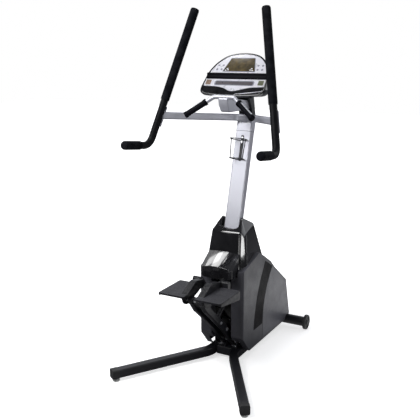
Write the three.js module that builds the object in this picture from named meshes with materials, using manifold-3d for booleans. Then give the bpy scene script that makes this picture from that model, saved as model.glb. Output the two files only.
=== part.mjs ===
// A gym stair climber: two pedals on levelling linkages, a covered drive with a belt-driven
// alternator, a leaning mast with handle poles, pulse grips, a bottle cage and a console.
// Millimetres, +Z up. +X is the user's right and +Y the way the user faces. The origin is on the
// floor, under the middle of the whole machine.
import * as THREE from 'three';
import { mergeVertices } from 'three/addons/utils/BufferGeometryUtils.js';
import Module from 'manifold-3d';

const wasm = await Module();
wasm.setup();

// ---- driving dimensions -------------------------------------------------------------------
const GAP = 0.3;                         // clearance between touching pieces
const LEG = { side: 46.6, wall: 3, under: 18, inner: 69.7, back: 60, bend: -81, end: [378.7, -568.9] };
const SPINE = { half: 45.7, from: -54, to: 505, wall: 4 };
const STABILISER = { y: 536, z: 45, radius: 29, half: 243 };
const WHEEL = { radius: 45, inner: 245, outer: 264, bore: 8.6, axle: 8 };
const ARM_PIVOT = [0, 92];               // [y, z] of the pedal arms' shaft
const LINK_OFFSET = [145, 55];           // from an arm's pins to its levelling link's pins
const PEDAL_PIN = [-345, 430];           // [y, z] of the arm's upper pin, at the top of the travel
const ARM_X = [16, 42];
const LINK_X = [46, 54];
const PLATE_X = [62, 68];
const PEDAL = { inner: 27, outer: 178, rear: -430, front: -214, under: 465.5, deck: 473, top: 476 };
const DRIVE = { y: 170, z: 400, shaft: 10, pulley: 110, spool: 26, rim: 32 };
const ALTERNATOR = { y: 400, z: 240, radius: 62, pulley: 22 };
const BELT_X = [78, 90];
const STRAP_X = [2.6, 11.4];
const STRAP = { anchor: [-150, 258], thick: 3, end: 230 };
const SPRING_FOOT = 90;                  // height of the return springs' lower hooks
const COVER = { half: 130, wall: 3, mouth: 60, neck: 95.3, hub: 110 };
const MAST = { y: 33, z: 735, lean: 15.4, half: 45, depth: 45, wall: 3, below: -190,
  above: 605, bolt: -128 };
const POLE = { top: [196, 1, 1860], gripFrom: 1405, bend: [356, -207, 1175],
  end: [367, -421, 1201], radius: 19, wall: 2, turn: 62 };
const GRIP = { radius: 22.4, bore: 19.6, cap: 3 };
const CROSSBAR = { corner: [45, 170, 1301], clamp: 1327, tall: 38, deep: 24, turn: 60 };
const PULSE = { inner: [90, -77, 1400], outer: [191, -125, 1329], top: 1424, knee: 45, bar: 11,
  grip: 15 };
const CONSOLE = { y: 18, z: 1450, tilt: 42, rim: 5 };
const DEG = Math.PI / 180;

const COLOUR = {
  frame: { color: 0x17181b, roughness: 0.45, metalness: 0.3 },
  silver: { color: 0xb9bac8, roughness: 0.35, metalness: 0.7 },
  gloss: { color: 0x0b0b0d, roughness: 0.12, metalness: 0 },
  cover: { color: 0x35353a, roughness: 0.45, metalness: 0 },
  foam: { color: 0x101113, roughness: 0.9, metalness: 0 },
  tread: { color: 0x3c3d44, roughness: 0.7, metalness: 0 },
  steel: { color: 0x9a9ca0, roughness: 0.3, metalness: 0.9 },
  belt: { color: 0x151515, roughness: 0.8, metalness: 0 },
  aluminium: { color: 0xa4a6aa, roughness: 0.4, metalness: 0.8 },
  foot: { color: 0xd9d9d6, roughness: 0.5, metalness: 0 },
  face: { color: 0xd8d9de, roughness: 0.3, metalness: 0.4 },
  lens: { color: 0x4a4427, roughness: 0.1, metalness: 0 },
  board: { color: 0x1d5a34, roughness: 0.6, metalness: 0 },
  stop: { color: 0xb8763f, roughness: 0.4, metalness: 0 },
  start: { color: 0x8b9a5a, roughness: 0.4, metalness: 0 },
};

// ---- solids ------------------------------------------------------------------------------
function toSolid(geometry) {
  const bare = geometry.clone();
  for (const name of Object.keys(bare.attributes)) {
    if (name !== 'position') bare.deleteAttribute(name);
  }
  const merged = mergeVertices(bare, 1e-3);
  return new wasm.Manifold(new wasm.Mesh({
    numProp: 3,
    vertProperties: Float32Array.from(merged.attributes.position.array),
    triVerts: Uint32Array.from(merged.index.array),
  }));
}

function toGeometry(solid) {
  const mesh = solid.getMesh();
  const geometry = new THREE.BufferGeometry();
  geometry.setAttribute('position', new THREE.BufferAttribute(Float32Array.from(mesh.vertProperties), 3));
  geometry.setIndex(new THREE.BufferAttribute(Uint32Array.from(mesh.triVerts), 1));
  return geometry;
}

function join(...geometries) {
  return toGeometry(geometries.map(toSolid).reduce((sum, next) => sum.add(next)));
}

function cut(geometry, ...tools) {
  return toGeometry(tools.map(toSolid).reduce((rest, tool) => rest.subtract(tool), toSolid(geometry)));
}

function common(...geometries) {
  return toGeometry(geometries.map(toSolid).reduce((rest, next) => rest.intersect(next)));
}

function mirrored(geometry) {
  const copy = geometry.index ? geometry.toNonIndexed() : geometry.clone();
  copy.scale(-1, 1, 1);
  const at = copy.attributes.position;
  const swap = new THREE.Vector3();
  const other = new THREE.Vector3();
  for (let i = 0; i < at.count; i += 3) {
    swap.fromBufferAttribute(at, i + 1);
    other.fromBufferAttribute(at, i + 2);
    at.setXYZ(i + 1, other.x, other.y, other.z);
    at.setXYZ(i + 2, swap.x, swap.y, swap.z);
  }
  return copy;
}

// ---- shapes ------------------------------------------------------------------------------
function block([x0, x1], [y0, y1], [z0, z1]) {
  return new THREE.BoxGeometry(x1 - x0, y1 - y0, z1 - z0)
    .translate((x0 + x1) / 2, (y0 + y1) / 2, (z0 + z1) / 2);
}

function outline(points) {
  return new THREE.Shape(points.map(([a, b]) => new THREE.Vector2(a, b)));
}

// An outline of [y, z] points, extruded along X.
function slab(points, [x0, x1]) {
  const shape = points instanceof THREE.Shape ? points : outline(points);
  const toSide = new THREE.Matrix4().makeBasis(
    new THREE.Vector3(0, 1, 0), new THREE.Vector3(0, 0, 1), new THREE.Vector3(1, 0, 0));
  return new THREE.ExtrudeGeometry(shape, { depth: x1 - x0, bevelEnabled: false, curveSegments: 5 })
    .applyMatrix4(toSide).translate(x0, 0, 0);
}

// An outline of [x, y] points, extruded along Z.
function layer(points, [z0, z1]) {
  const shape = points instanceof THREE.Shape ? points : outline(points);
  return new THREE.ExtrudeGeometry(shape, { depth: z1 - z0, bevelEnabled: false, curveSegments: 5 })
    .translate(0, 0, z0);
}

function rodX([y, z], radius, [x0, x1], sides = 12) {
  return new THREE.CylinderGeometry(radius, radius, x1 - x0, sides)
    .rotateZ(Math.PI / 2).translate((x0 + x1) / 2, y, z);
}

function rodBetween(from, to, radius, sides = 8) {
  const a = new THREE.Vector3(...from);
  const b = new THREE.Vector3(...to);
  const turn = new THREE.Quaternion()
    .setFromUnitVectors(new THREE.Vector3(0, 1, 0), b.clone().sub(a).normalize());
  return new THREE.CylinderGeometry(radius, radius, a.distanceTo(b), sides)
    .applyQuaternion(turn).translate(...a.clone().add(b).multiplyScalar(0.5).toArray());
}

// A turned piece: a profile of [radius, along] points, with its axis laid along +X from the origin.
function turnedX(profile, sides = 16) {
  const geometry = new THREE.LatheGeometry(profile.map(([r, a]) => new THREE.Vector2(r, a)), sides);
  return geometry.rotateZ(-Math.PI / 2);
}

// A route through a list of points, one step of an extrusion to each.
class Route extends THREE.Curve {
  constructor(points) {
    super();
    this.points = points;
  }

  getPoint(t, target = new THREE.Vector3()) {
    const place = Math.min(Math.max(t, 0), 1) * (this.points.length - 1);
    const index = Math.min(Math.floor(place + 1e-9), this.points.length - 2);
    return target.copy(this.points[index]).lerp(this.points[index + 1], place - index);
  }

  getPointAt(u, target) {
    return this.getPoint(u, target);
  }

  getTangentAt(u, target = new THREE.Vector3()) {
    const last = this.points.length - 1;
    const index = Math.round(u * last);
    const before = this.points[Math.max(index - 1, 0)];
    const after = this.points[Math.min(index + 1, last)];
    return target.copy(after).sub(before).normalize();
  }
}

// The corner points of a bent tube's centre line, with each inner corner rounded.
function bent(corners, radius, pieces = 5) {
  const points = corners.map((corner) => new THREE.Vector3(...corner));
  const route = [points[0]];
  for (let i = 1; i < points.length - 1; i += 1) {
    const back = points[i - 1].clone().sub(points[i]).normalize();
    const on = points[i + 1].clone().sub(points[i]).normalize();
    const reach = radius / Math.tan(back.angleTo(on) / 2);
    const start = points[i].clone().addScaledVector(back, reach);
    const end = points[i].clone().addScaledVector(on, reach);
    const corner = new THREE.QuadraticBezierCurve3(start, points[i], end);
    route.push(...corner.getPoints(pieces));
  }
  route.push(points[points.length - 1]);
  return route;
}

function sweep(section, route) {
  return new THREE.ExtrudeGeometry(section,
    { steps: route.length - 1, extrudePath: new Route(route), bevelEnabled: false });
}

function ringSection(radius, bore, sides) {
  const circle = (r) => Array.from({ length: sides }, (_, i) => {
    const angle = (i / sides) * 2 * Math.PI;
    return new THREE.Vector2(r * Math.cos(angle), r * Math.sin(angle));
  });
  const shape = new THREE.Shape(circle(radius));
  if (bore) shape.holes.push(new THREE.Path(circle(bore)));
  return shape;
}

function rectangle(half, high) {
  return [[-half, -high], [half, -high], [half, high], [-half, high]];
}

function boxSection(width, height, wall) {
  const shape = outline(rectangle(width / 2, height / 2));
  if (wall) {
    const hole = rectangle(width / 2 - wall, height / 2 - wall).map(([a, b]) => new THREE.Vector2(a, b));
    shape.holes.push(new THREE.Path(hole));
  }
  return shape;
}

// The closed outline of a strip of even width along a line of [y, z] points.
function strip(points, width) {
  const sides = [[], []];
  points.forEach(([y, z], i) => {
    const before = points[Math.max(i - 1, 0)];
    const after = points[Math.min(i + 1, points.length - 1)];
    const length = Math.hypot(after[0] - before[0], after[1] - before[1]);
    const across = [-(after[1] - before[1]) / length, (after[0] - before[0]) / length];
    sides[0].push([y + across[0] * width / 2, z + across[1] * width / 2]);
    sides[1].unshift([y - across[0] * width / 2, z - across[1] * width / 2]);
  });
  return [...sides[1], ...sides[0]];
}

function arc([y, z], radius, from, to, pieces) {
  return Array.from({ length: pieces + 1 }, (_, i) => {
    const angle = from + (to - from) * i / pieces;
    return [y + radius * Math.cos(angle), z + radius * Math.sin(angle)];
  });
}

const shifted = ([y, z], [dy, dz]) => [y + dy, z + dz];

// ---- the finished assembly -----------------------------------------------------------------
const machine = new THREE.Group();
machine.name = 'stair_climber';

function add(name, geometry, look, parent = machine) {
  const mesh = new THREE.Mesh(geometry, new THREE.MeshStandardMaterial(COLOUR[look]));
  mesh.name = name;
  parent.add(mesh);
  return mesh;
}

function addPair(name, geometry, look, leftLook = look) {
  add(`right_${name}`, geometry, look);
  add(`left_${name}`, mirrored(geometry), leftLook);
}

// ---- base ----------------------------------------------------------------------------------
const legTop = LEG.under + LEG.side;
// A point on the mast's middle plane, by its depth from the user's face and its distance up the tube.
const mastPoint = (depth, along) => {
  const lean = MAST.lean * DEG;
  return [MAST.y + depth * Math.cos(lean) + along * Math.sin(lean),
    MAST.z - depth * Math.sin(lean) + along * Math.cos(lean)];
};
const mastBoltSpot = mastPoint(MAST.depth / 2, MAST.bolt);
const plateBore = (centre, radius) => rodX(centre, radius, [PLATE_X[0] - 5, PLATE_X[1] + 5]);
const linkPivot = shifted(ARM_PIVOT, LINK_OFFSET);
const springY = DRIVE.y + DRIVE.spool + STRAP.thick / 2 + 1;

function baseFrame() {
  const tube = block([-SPINE.half, SPINE.half], [SPINE.from, SPINE.to], [LEG.under, legTop]);
  const inside = block([-SPINE.half + SPINE.wall, SPINE.half - SPINE.wall],
    [SPINE.from + SPINE.wall, SPINE.to + 1], [LEG.under + SPINE.wall, legTop - SPINE.wall]);
  const post = block([-30, 30], [ALTERNATOR.y - 30, ALTERNATOR.y + 30],
    [legTop - 1, ALTERNATOR.z - ALTERNATOR.radius - GAP]);
  const hook = block([-13, 13], [springY - 6, springY + 6], [legTop - 1, SPRING_FOOT - GAP]);
  const socket = rodX([STABILISER.y, STABILISER.z], STABILISER.radius + 1, [-200, 200], 18);
  return join(cut(tube, inside, socket), post, hook);
}

function legTube() {
  const [endX, endY] = LEG.end;
  const height = LEG.under + LEG.side / 2;
  const route = bent([[LEG.inner, LEG.back, height], [LEG.inner, LEG.bend, height],
    [endX, endY, height]], 110, 6);
  const end = route[route.length - 1];
  const out = end.clone().sub(route[route.length - 2]).normalize();
  const within = end.clone().addScaledVector(out, -LEG.wall);
  const closing = sweep(boxSection(LEG.side, LEG.side, 0), [within, end]);
  return { tube: join(sweep(boxSection(LEG.side, LEG.side, LEG.wall), route), closing), end, out };
}

const leg = legTube();
const footSpot = leg.end.clone().addScaledVector(leg.out, -24);

function legs() {
  const hole = rodBetween([footSpot.x, footSpot.y, 0], [footSpot.x, footSpot.y, legTop - 10], 5.6);
  addPair('leg', cut(leg.tube, hole), 'frame');
}

function levellingFeet() {
  const profile = [[0, 0], [16, 0], [18, 2], [18, 7], [15, 9], [11, 9], [11, 15], [5, 15], [5, 42], [0, 42]];
  const foot = new THREE.LatheGeometry(profile.map(([r, h]) => new THREE.Vector2(r, h)), 16)
    .rotateX(Math.PI / 2);
  for (const [side, sign] of [['right', 1], ['left', -1]]) {
    add(`${side}_levelling_foot`, foot, 'foot').position.set(sign * footSpot.x, footSpot.y, 0);
  }
}

function stabiliser() {
  const centre = [STABILISER.y, STABILISER.z];
  const tube = rodX(centre, STABILISER.radius, [-STABILISER.half, STABILISER.half], 18);
  const stub = turnedX([[0, STABILISER.half - 1], [WHEEL.axle, STABILISER.half - 1],
    [WHEEL.axle, WHEEL.outer + 0.5], [13, WHEEL.outer + 0.5], [12, WHEEL.outer + 4],
    [0, WHEEL.outer + 5]], 24)
    .translate(0, ...centre);
  add('front_stabiliser', join(tube, stub, mirrored(stub)), 'frame');
  const width = WHEEL.outer - WHEEL.inner;
  const profile = [[WHEEL.bore, 0], [40, 0], [WHEEL.radius, 3], [WHEEL.radius, width - 3], [41, width],
    [34, width - 1], [32, width - 5], [20, width - 5], [18, width - 1], [WHEEL.bore, width - 1],
    [WHEEL.bore, 0]];
  for (const [side, sign] of [['right', 1], ['left', -1]]) {
    const wheel = add(`${side}_transport_wheel`, turnedX(profile), 'belt');
    wheel.position.set(sign * WHEEL.inner, ...centre);
    if (sign < 0) wheel.rotation.z = Math.PI;
  }
}

function framePlates() {
  const points = [[-30, legTop + GAP], [-30, 118], [92, 240], [92, 430], [-28, 548], [-12, 662], [62, 662],
    [100, 600], [228, 440], [228, legTop + GAP]];
  const window = [[178, 90], [216, 90], [216, 330], [178, 330]];
  const foot = block([LEG.inner - 20, PLATE_X[1]], [70, 228], [legTop + GAP, legTop + 6]);
  const plate = cut(join(slab(points, PLATE_X), foot),
    slab(window, [PLATE_X[0] - 5, PLATE_X[1] + 5]), plateBore(ARM_PIVOT, 9.4), plateBore(linkPivot, 8.4),
    plateBore([DRIVE.y, DRIVE.z], 21), plateBore(mastBoltSpot, 6.5));
  addPair('frame_plate', plate, 'frame');
}

// ---- mast ----------------------------------------------------------------------------------
function mast() {
  const outer = block([-MAST.half, MAST.half], [0, MAST.depth], [MAST.below, MAST.above]);
  const inner = block([-MAST.half + MAST.wall, MAST.half - MAST.wall],
    [MAST.wall, MAST.depth - MAST.wall], [MAST.below - 1, MAST.above + 1]);
  const bore = rodX([MAST.depth / 2, MAST.bolt], 6.5, [-60, 60]);
  const tube = add('mast', cut(outer, inner, bore), 'silver');
  tube.position.set(0, MAST.y, MAST.z);
  tube.rotation.x = -MAST.lean * DEG;
}

function mastBolt() {
  const spot = mastBoltSpot;
  add('mast_bolt', join(rodX(spot, 6, [-74, 74]),
    rodX(spot, 11, [PLATE_X[1] + GAP, 75], 6), rodX(spot, 11, [-75, -PLATE_X[1] - GAP], 6),
    rodX(spot, 12, [MAST.half + GAP, PLATE_X[0] - GAP]),
    rodX(spot, 12, [-PLATE_X[0] + GAP, -MAST.half - GAP])), 'steel');
}

// ---- handles -------------------------------------------------------------------------------
const poleUp = new THREE.Vector3(...POLE.top).sub(new THREE.Vector3(...POLE.bend)).normalize();
const poleFront = new THREE.Vector3(0, 1, 0).addScaledVector(poleUp, -poleUp.y).normalize();
const poleAt = (height) => {
  const low = new THREE.Vector3(...POLE.bend);
  return low.addScaledVector(poleUp, (height - low.z) / poleUp.z);
};
const clampCentre = poleAt(CROSSBAR.clamp);

function clampBolt(along) {
  const axis = clampCentre.clone().addScaledVector(poleUp, along);
  const at = (d) => axis.clone().addScaledVector(poleFront, d).toArray();
  const head = POLE.radius + 7;
  return { hole: rodBetween(at(0), at(head + 20), 4.8),
    bolt: join(rodBetween(at(6), at(head + 2), 4.3), rodBetween(at(head - 2), at(head + 9), 9, 8)) };
}

const clampBolts = [38, -38].map(clampBolt);

function handles() {
  const route = bent([POLE.top, POLE.bend, POLE.end], POLE.turn, 6);
  const first = route[0].clone().sub(route[1]).normalize();
  const last = route[route.length - 1].clone().sub(route[route.length - 2]).normalize();
  const inset = GRIP.cap + GAP;
  route[0].addScaledVector(first, -inset);
  route[route.length - 1].addScaledVector(last, -inset);
  const tube = sweep(ringSection(POLE.radius, POLE.radius - POLE.wall, 10), route);
  addPair('handle_pole', cut(tube, ...clampBolts.map((clamp) => clamp.hole)), 'frame');
  addPair('upper_grip', sleeve(poleAt(POLE.gripFrom).toArray(), POLE.top), 'foam');
  const cornerOut = new THREE.Vector3(...POLE.end).sub(new THREE.Vector3(...POLE.bend)).normalize();
  const start = new THREE.Vector3(...POLE.bend).addScaledVector(cornerOut, POLE.turn + 24).toArray();
  addPair('lower_grip', sleeve(start, POLE.end), 'foam');
}

// A sleeve from its open end to its closed end, whose edge is rounded over a length.
function sleeve(open, closed, radius = GRIP.radius, bore = GRIP.bore, round = 12) {
  const a = new THREE.Vector3(...open);
  const b = new THREE.Vector3(...closed);
  const length = a.distanceTo(b);
  const profile = [[bore, 0], [radius - 1, 0], [radius, 2], [radius, length - round],
    [radius - round / 3, length - round / 3], [radius - round, length], [0, length],
    [0, length - GRIP.cap], [bore, length - GRIP.cap], [bore, 0]];
  const turn = new THREE.Quaternion()
    .setFromUnitVectors(new THREE.Vector3(0, 1, 0), b.clone().sub(a).normalize());
  return new THREE.LatheGeometry(profile.map(([x, y]) => new THREE.Vector2(x, y)), 16)
    .applyQuaternion(turn).translate(...open);
}

function crossbar() {
  const [x, y, z] = CROSSBAR.corner;
  const ends = clampCentre.toArray();
  const route = bent([[-ends[0], ends[1], ends[2]], [-x, y, z], [x, y, z], ends], CROSSBAR.turn, 5);
  const bar = sweep(boxSection(CROSSBAR.tall, CROSSBAR.deep, 0), route);
  const middle = clampCentre.clone().addScaledVector(poleFront, POLE.radius + GAP + 3);
  const side = new THREE.Vector3().crossVectors(poleFront, poleUp);
  const saddle = new THREE.BoxGeometry(34, 6, 108).applyMatrix4(
    new THREE.Matrix4().makeBasis(side, poleFront, poleUp)).translate(...middle.toArray());
  const pole = rodBetween(poleAt(1200).toArray(), poleAt(1450).toArray(), POLE.radius + 2 * GAP, 14);
  const bare = cut(join(bar, saddle, mirrored(saddle)), pole, mirrored(pole));
  add('crossbar', join(bare, ...clampBolts.flatMap((clamp) => [clamp.bolt, mirrored(clamp.bolt)])), 'silver');
}

function pulseBar() {
  const iy = PULSE.inner[1];
  const lift = 26;
  const from = new THREE.Vector3(...PULSE.inner);
  const tip = new THREE.Vector3(...PULSE.outer);
  const out = tip.clone().sub(from).normalize();
  const knee = from.clone().addScaledVector(out, -PULSE.knee).toArray();
  const [ox, oy, oz] = tip.clone().addScaledVector(out, -3 - GAP).toArray();
  const route = bent([[-ox, oy, oz], [-knee[0], knee[1], knee[2]], knee, [ox, oy, oz]], 30, 4);
  const tube = sweep(ringSection(PULSE.bar, 0, 10), route);
  const arm = slab([[iy + 6, PULSE.top - 34], [iy + 2, PULSE.top - 4], [iy + 24, PULSE.top - 2],
    [177, 1392], [187.5, 1346], [iy + 30, 1346]], [-lift, lift]);
  const bar = join(tube, arm);
  add('pulse_bar', bar, 'silver');
  addPair('pulse_grip', sleeve(PULSE.inner, PULSE.outer, PULSE.grip, PULSE.bar + GAP, 2), 'foam');
}

// ---- bottle cage ---------------------------------------------------------------------------
function bottleCage() {
  const at = 420;
  const strap = [[-8, -70], [8, -70], [8, 70], [-8, 70]];
  const shape = outline(strap);
  for (const high of [34, 55]) {
    const hole = new THREE.Path();
    hole.absellipse(0, high, 4, 7, 0, 2 * Math.PI, true);
    shape.holes.push(hole);
  }
  const plate = new THREE.ExtrudeGeometry(shape, { depth: 4, bevelEnabled: false, curveSegments: 5 })
    .rotateX(Math.PI / 2).translate(0, -GAP, 0);
  const wire = (route) => sweep(ringSection(2.6, 0, 6), route);
  const hoop = bent([[6, -3, 42], [42, -16, 42], [42, -78, 42], [-42, -78, 42], [-42, -16, 42],
    [-6, -3, 42]], 20, 3);
  const cradle = bent([[6, -3, -62], [36, -12, -62], [36, -70, -62], [-36, -70, -62], [-36, -12, -62],
    [-6, -3, -62]], 20, 3);
  const uprights = [-42, 42].map((x) => wire([new THREE.Vector3(x, -50, 42),
    new THREE.Vector3(x * 36 / 42, -48, -62)]));
  const cage = add('bottle_cage', join(plate, wire(hoop), wire(cradle), ...uprights), 'frame');
  const [y, z] = mastPoint(0, at);
  cage.position.set(0, y, z);
  cage.rotation.x = -MAST.lean * DEG;
}

// ---- console -------------------------------------------------------------------------------
// Front view of the console in its own plane: x across, s up the face from the lip.
function domeOutline(inset) {
  const shape = new THREE.Shape();
  const wide = 184 - inset;
  shape.moveTo(-150, -25 + inset);
  shape.quadraticCurveTo(0, -41 + inset, 150, -25 + inset);
  shape.quadraticCurveTo(wide, -12 + inset, wide, 24);
  shape.lineTo(176 - inset, 110);
  shape.quadraticCurveTo(160 - inset, 204 - inset, 92, 240 - inset);
  shape.quadraticCurveTo(0, 268 - inset, -92, 240 - inset);
  shape.quadraticCurveTo(-160 + inset, 204 - inset, -176 + inset, 110);
  shape.lineTo(-wide, 24);
  shape.quadraticCurveTo(-wide, -12 + inset, -150, -25 + inset);
  return shape;
}

// Side view of the console's case, and of the hollow in it, as [y, z].
const CASE_SIDE = [[CONSOLE.y, CONSOLE.z], [41, 1423], [150, 1412], [205, 1440], [228, 1520], [222, 1606],
  [196, 1650], [189.3, 1640.2]];
const CASE_HOLLOW = [[-42, 1428], [150, 1416], [202, 1443], [224, 1520], [218, 1600], [190, 1640],
  [150, 1660], [-102, 1560]];

function consoleHead() {
  const group = new THREE.Group();
  group.position.set(0, CONSOLE.y, CONSOLE.z);
  group.rotation.x = (90 - CONSOLE.tilt) * DEG;
  machine.add(group);
  const toRow = new THREE.Matrix4().makeRotationX((90 - CONSOLE.tilt) * DEG)
    .setPosition(0, CONSOLE.y, CONSOLE.z);
  const prism = (inset, top) => layer(domeOutline(inset), [-220, top]).applyMatrix4(toRow);
  const body = common(prism(0, 0), slab(CASE_SIDE, [-200, 200]));
  const hollow = common(prism(CONSOLE.rim, 1), slab(CASE_HOLLOW, [-200, 200]));
  add('console_back_shell', cut(body, hollow), 'gloss');

  const window = [[-91, 129], [91, 129], [67, 216], [-67, 216]];
  const grown = [[-91.5, 128.5], [91.5, 128.5], [67.4, 216.5], [-67.4, 216.5]];
  const keyHole = (x) => block([x - 15.5, x + 15.5], [38.5, 69.5], [-10, 10]);
  const plate = cut(layer(domeOutline(CONSOLE.rim + GAP), [-3, 0]), layer(grown, [-10, 10]),
    keyHole(-150), keyHole(150), block([-200, 200], [-60, 0], [-10, 10]));
  add('console_face', plate, 'face', group);
  add('display_lens', layer(window, [-3, 0.6]), 'lens', group);
  const bar = [[88, GAP], [112, GAP], [110, 9], [104, 15], [98, 15], [96, 9], [88, 7]];
  add('magazine_ledge', slab(bar, [-166, 166]), 'gloss', group);
  const key = block([-15, 15], [-15, 15], [-4, 2]);
  add('stop_key', key, 'stop', group).position.set(-150, 54, 0);
  add('start_key', key, 'start', group).position.set(150, 54, 0);
  add('keypad_overlay', keypadOverlay(), 'face', group);
}

// The keypad's film, with its keys raised on it.
function keypadOverlay() {
  const film = common(layer(domeOutline(CONSOLE.rim + 6), [GAP, 0.9]),
    block([-200, 200], [114, 300], [-5, 5]));
  const keys = [];
  for (let i = -3; i <= 3; i += 1) keys.push(block([i * 23 - 8, i * 23 + 8], [116, 124], [0.5, 1.8]));
  for (const x of [-132, -103, 103, 132]) {
    for (const s of [141, 168]) {
      keys.push(new THREE.CylinderGeometry(6, 6, 1.2, 6).rotateX(Math.PI / 2).translate(x, s, 1.2));
    }
  }
  const opening = layer([[-92, 128], [92, 128], [68, 217], [-68, 217]], [-10, 10]);
  return cut(join(film, ...keys), opening);
}

function consoleBracket() {
  const low = mastPoint(0, MAST.above + GAP);
  const back = mastPoint(MAST.depth, MAST.above + GAP);
  add('console_bracket', slab([[low[0], low[1]], [back[0], back[1]], [226, 1345], [212, 1403],
    [201, 1436.5], [150, 1411.5], [176, 1400], [190, 1340]], [-40, 40]), 'frame');
}

// ---- covers --------------------------------------------------------------------------------
const SEAM = [[-86, 522], [118, 580]];   // where the upper shroud sits on the side covers

function sideCover() {
  const edge = [[-86, 150], [0, 50], [500, 48], [560, 60], [568, 74], [506, 308], [333, 434], [273, 487],
    SEAM[1], SEAM[0]];
  const w = COVER.wall;
  const inside = [[-86 + w, 151], [2, 30], [500, 30], [558, 30], [568 - w, 74], [506 - w, 308 - w],
    [333 - w, 434 - w], [273 - w, 487 - w], [118, 580 - w], [-86 + w, 522 - w]];
  const shell = cut(slab(edge, [GAP, COVER.half]), slab(inside, [-1, COVER.half - w]));
  const mouth = slab([[-100, 20], [60, 20], [60, 330], [-70, 500], [-100, 500]], [-1, COVER.mouth]);
  const hub = slab([[-100, 20], [60, 20], [60, COVER.hub], [-100, COVER.hub]], [-1, COVER.neck]);
  const neck = slab([[-100, 487.5], [-70, 487.5], [-70, 400], [150, 400], [214, 520], [150, 600],
    [-100, 600]], [-1, COVER.neck]);
  const tube = rodX([STABILISER.y, STABILISER.z], STABILISER.radius + 1, [-10, 140], 14);
  return cut(shell, mouth, hub, neck, tube);
}

// Half widths of the upper shroud: at its foot, where its sides turn inward, and at the very top, then
// of its flat face toward the user, and where the bevel beside that face ends.
const SHROUD = { foot: 126, shoulder: [101, 688], crown: [51, 800], face: 90, cheek: [113, -23] };
const lean = (z) => (z - 530) * 0.194;   // how far the shroud's faces lean forward at a height

function shroudBlock(inset) {
  const w = inset;
  const { foot, shoulder, crown, face, cheek } = SHROUD;
  const profile = [[-64 + w, 529.6 - w * 3], [-28 + w, 717 - w], [42, 783 - w], [133 - w, 738 - w],
    [229 - w, 515 - w * 3], [118, 581 - w * 3]];
  const right = [[foot - w, 480], [shoulder[0] - w, shoulder[1]], [crown[0] - w, crown[1]]];
  const left = right.map(([x, z]) => [-x, z]).reverse();
  const wide = new THREE.ExtrudeGeometry(outline([...right, ...left]), { depth: 400, bevelEnabled: false })
    .rotateX(Math.PI / 2).translate(0, 300, 0);
  const plan = layer([[-face + w, -64 + w], [face - w, -64 + w], [cheek[0] - w, cheek[1] + w],
    [foot - w, 260], [-foot + w, 260], [-cheek[0] + w, cheek[1] + w]], [480, 800]);
  const shear = new THREE.Matrix4().set(1, 0, 0, 0, 0, 1, 0.194, -530 * 0.194, 0, 0, 1, 0, 0, 0, 0, 1);
  return common(slab(profile, [-130, 130]), wide, plan.applyMatrix4(shear));
}

function upperShroud() {
  const opening = block([-50, 50], [-22, 108], [690, 800]);
  const shell = cut(shroudBlock(0), shroudBlock(3), opening);
  const split = [[-16 + lean(400), 400], [-16 + lean(900), 900]];
  const behind = slab([[-200, 400], ...split, [-200, 900]], [-150, 150]);
  const ahead = slab([[400, 900], [split[1][0] + GAP, 900], [split[0][0] + GAP, 400], [400, 400]],
    [-150, 150]);
  add('shroud_user_half', common(shell, behind), 'gloss');
  add('shroud_front_half', common(shell, ahead), 'gloss');
}

const VISOR = { half: 92, front: -147, rise: 0.66, arch: 13 };

// A hood whose top slopes up to the shroud and arches from side to side.
function visor() {
  const hood = (w) => {
    const { half, front, rise, arch } = VISOR;
    const x = half - w;
    const y = front + w;
    const plan = layer([[-x, -40], [-x, y + 12], [-x + 12, y], [x - 12, y], [x, y + 12], [x, -40]],
      [440, 660]);
    const side = [[-160, 488 - 3 * w], [-160, 650], [-42 + w, 650], [-66 + w, 531], [-66 + w, 488 - 3 * w]];
    const roof = [[-x, -200], [x, -200]];
    for (const part of [1, 0.75, 0.5, 0.25, 0, -0.25, -0.5, -0.75, -1]) {
      roof.push([x * part, 555 - w - arch * part * part]);
    }
    const vault = new THREE.ExtrudeGeometry(outline(roof), { depth: 200, bevelEnabled: false })
      .rotateX(Math.PI / 2);
    const tilt = new THREE.Matrix4().set(1, 0, 0, 0, 0, 1, 0, 0, 0, rise, 1, -rise * front, 0, 0, 0, 1);
    return common(plan, slab(side, [-110, 110]), vault.applyMatrix4(tilt));
  };
  const mouth = block([-80, 80], [-90, -60], [440, 560]);
  add('visor', cut(hood(0), hood(3), mouth), 'gloss');
}

// ---- stepping linkage ----------------------------------------------------------------------
function pedalArm() {
  const middle = [ARM_PIVOT, [-28, 112], [-121, 215], [-250, 332], [-302, 376], PEDAL_PIN];
  const arm = join(slab(strip(middle, 38), ARM_X), rodX(ARM_PIVOT, 23, ARM_X), rodX(PEDAL_PIN, 21, ARM_X),
    rodX(STRAP.anchor, 6, [STRAP_X[0] - 0.4, ARM_X[0] + 5]));
  const bores = [rodX(ARM_PIVOT, 9.5, [0, 60], 14), rodX(PEDAL_PIN, 8.5, [12, 60], 14)];
  addPair('pedal_arm', cut(arm, ...bores), 'frame');
}

function levellingLink() {
  const upper = shifted(PEDAL_PIN, LINK_OFFSET);
  const bar = join(slab(strip([linkPivot, upper], 24), LINK_X), rodX(linkPivot, 16, LINK_X),
    rodX(upper, 15, LINK_X));
  addPair('levelling_link', cut(bar, rodX(linkPivot, 8.6, [40, 60], 14), rodX(upper, 8, [40, 60], 14)),
    'frame');
}

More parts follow.
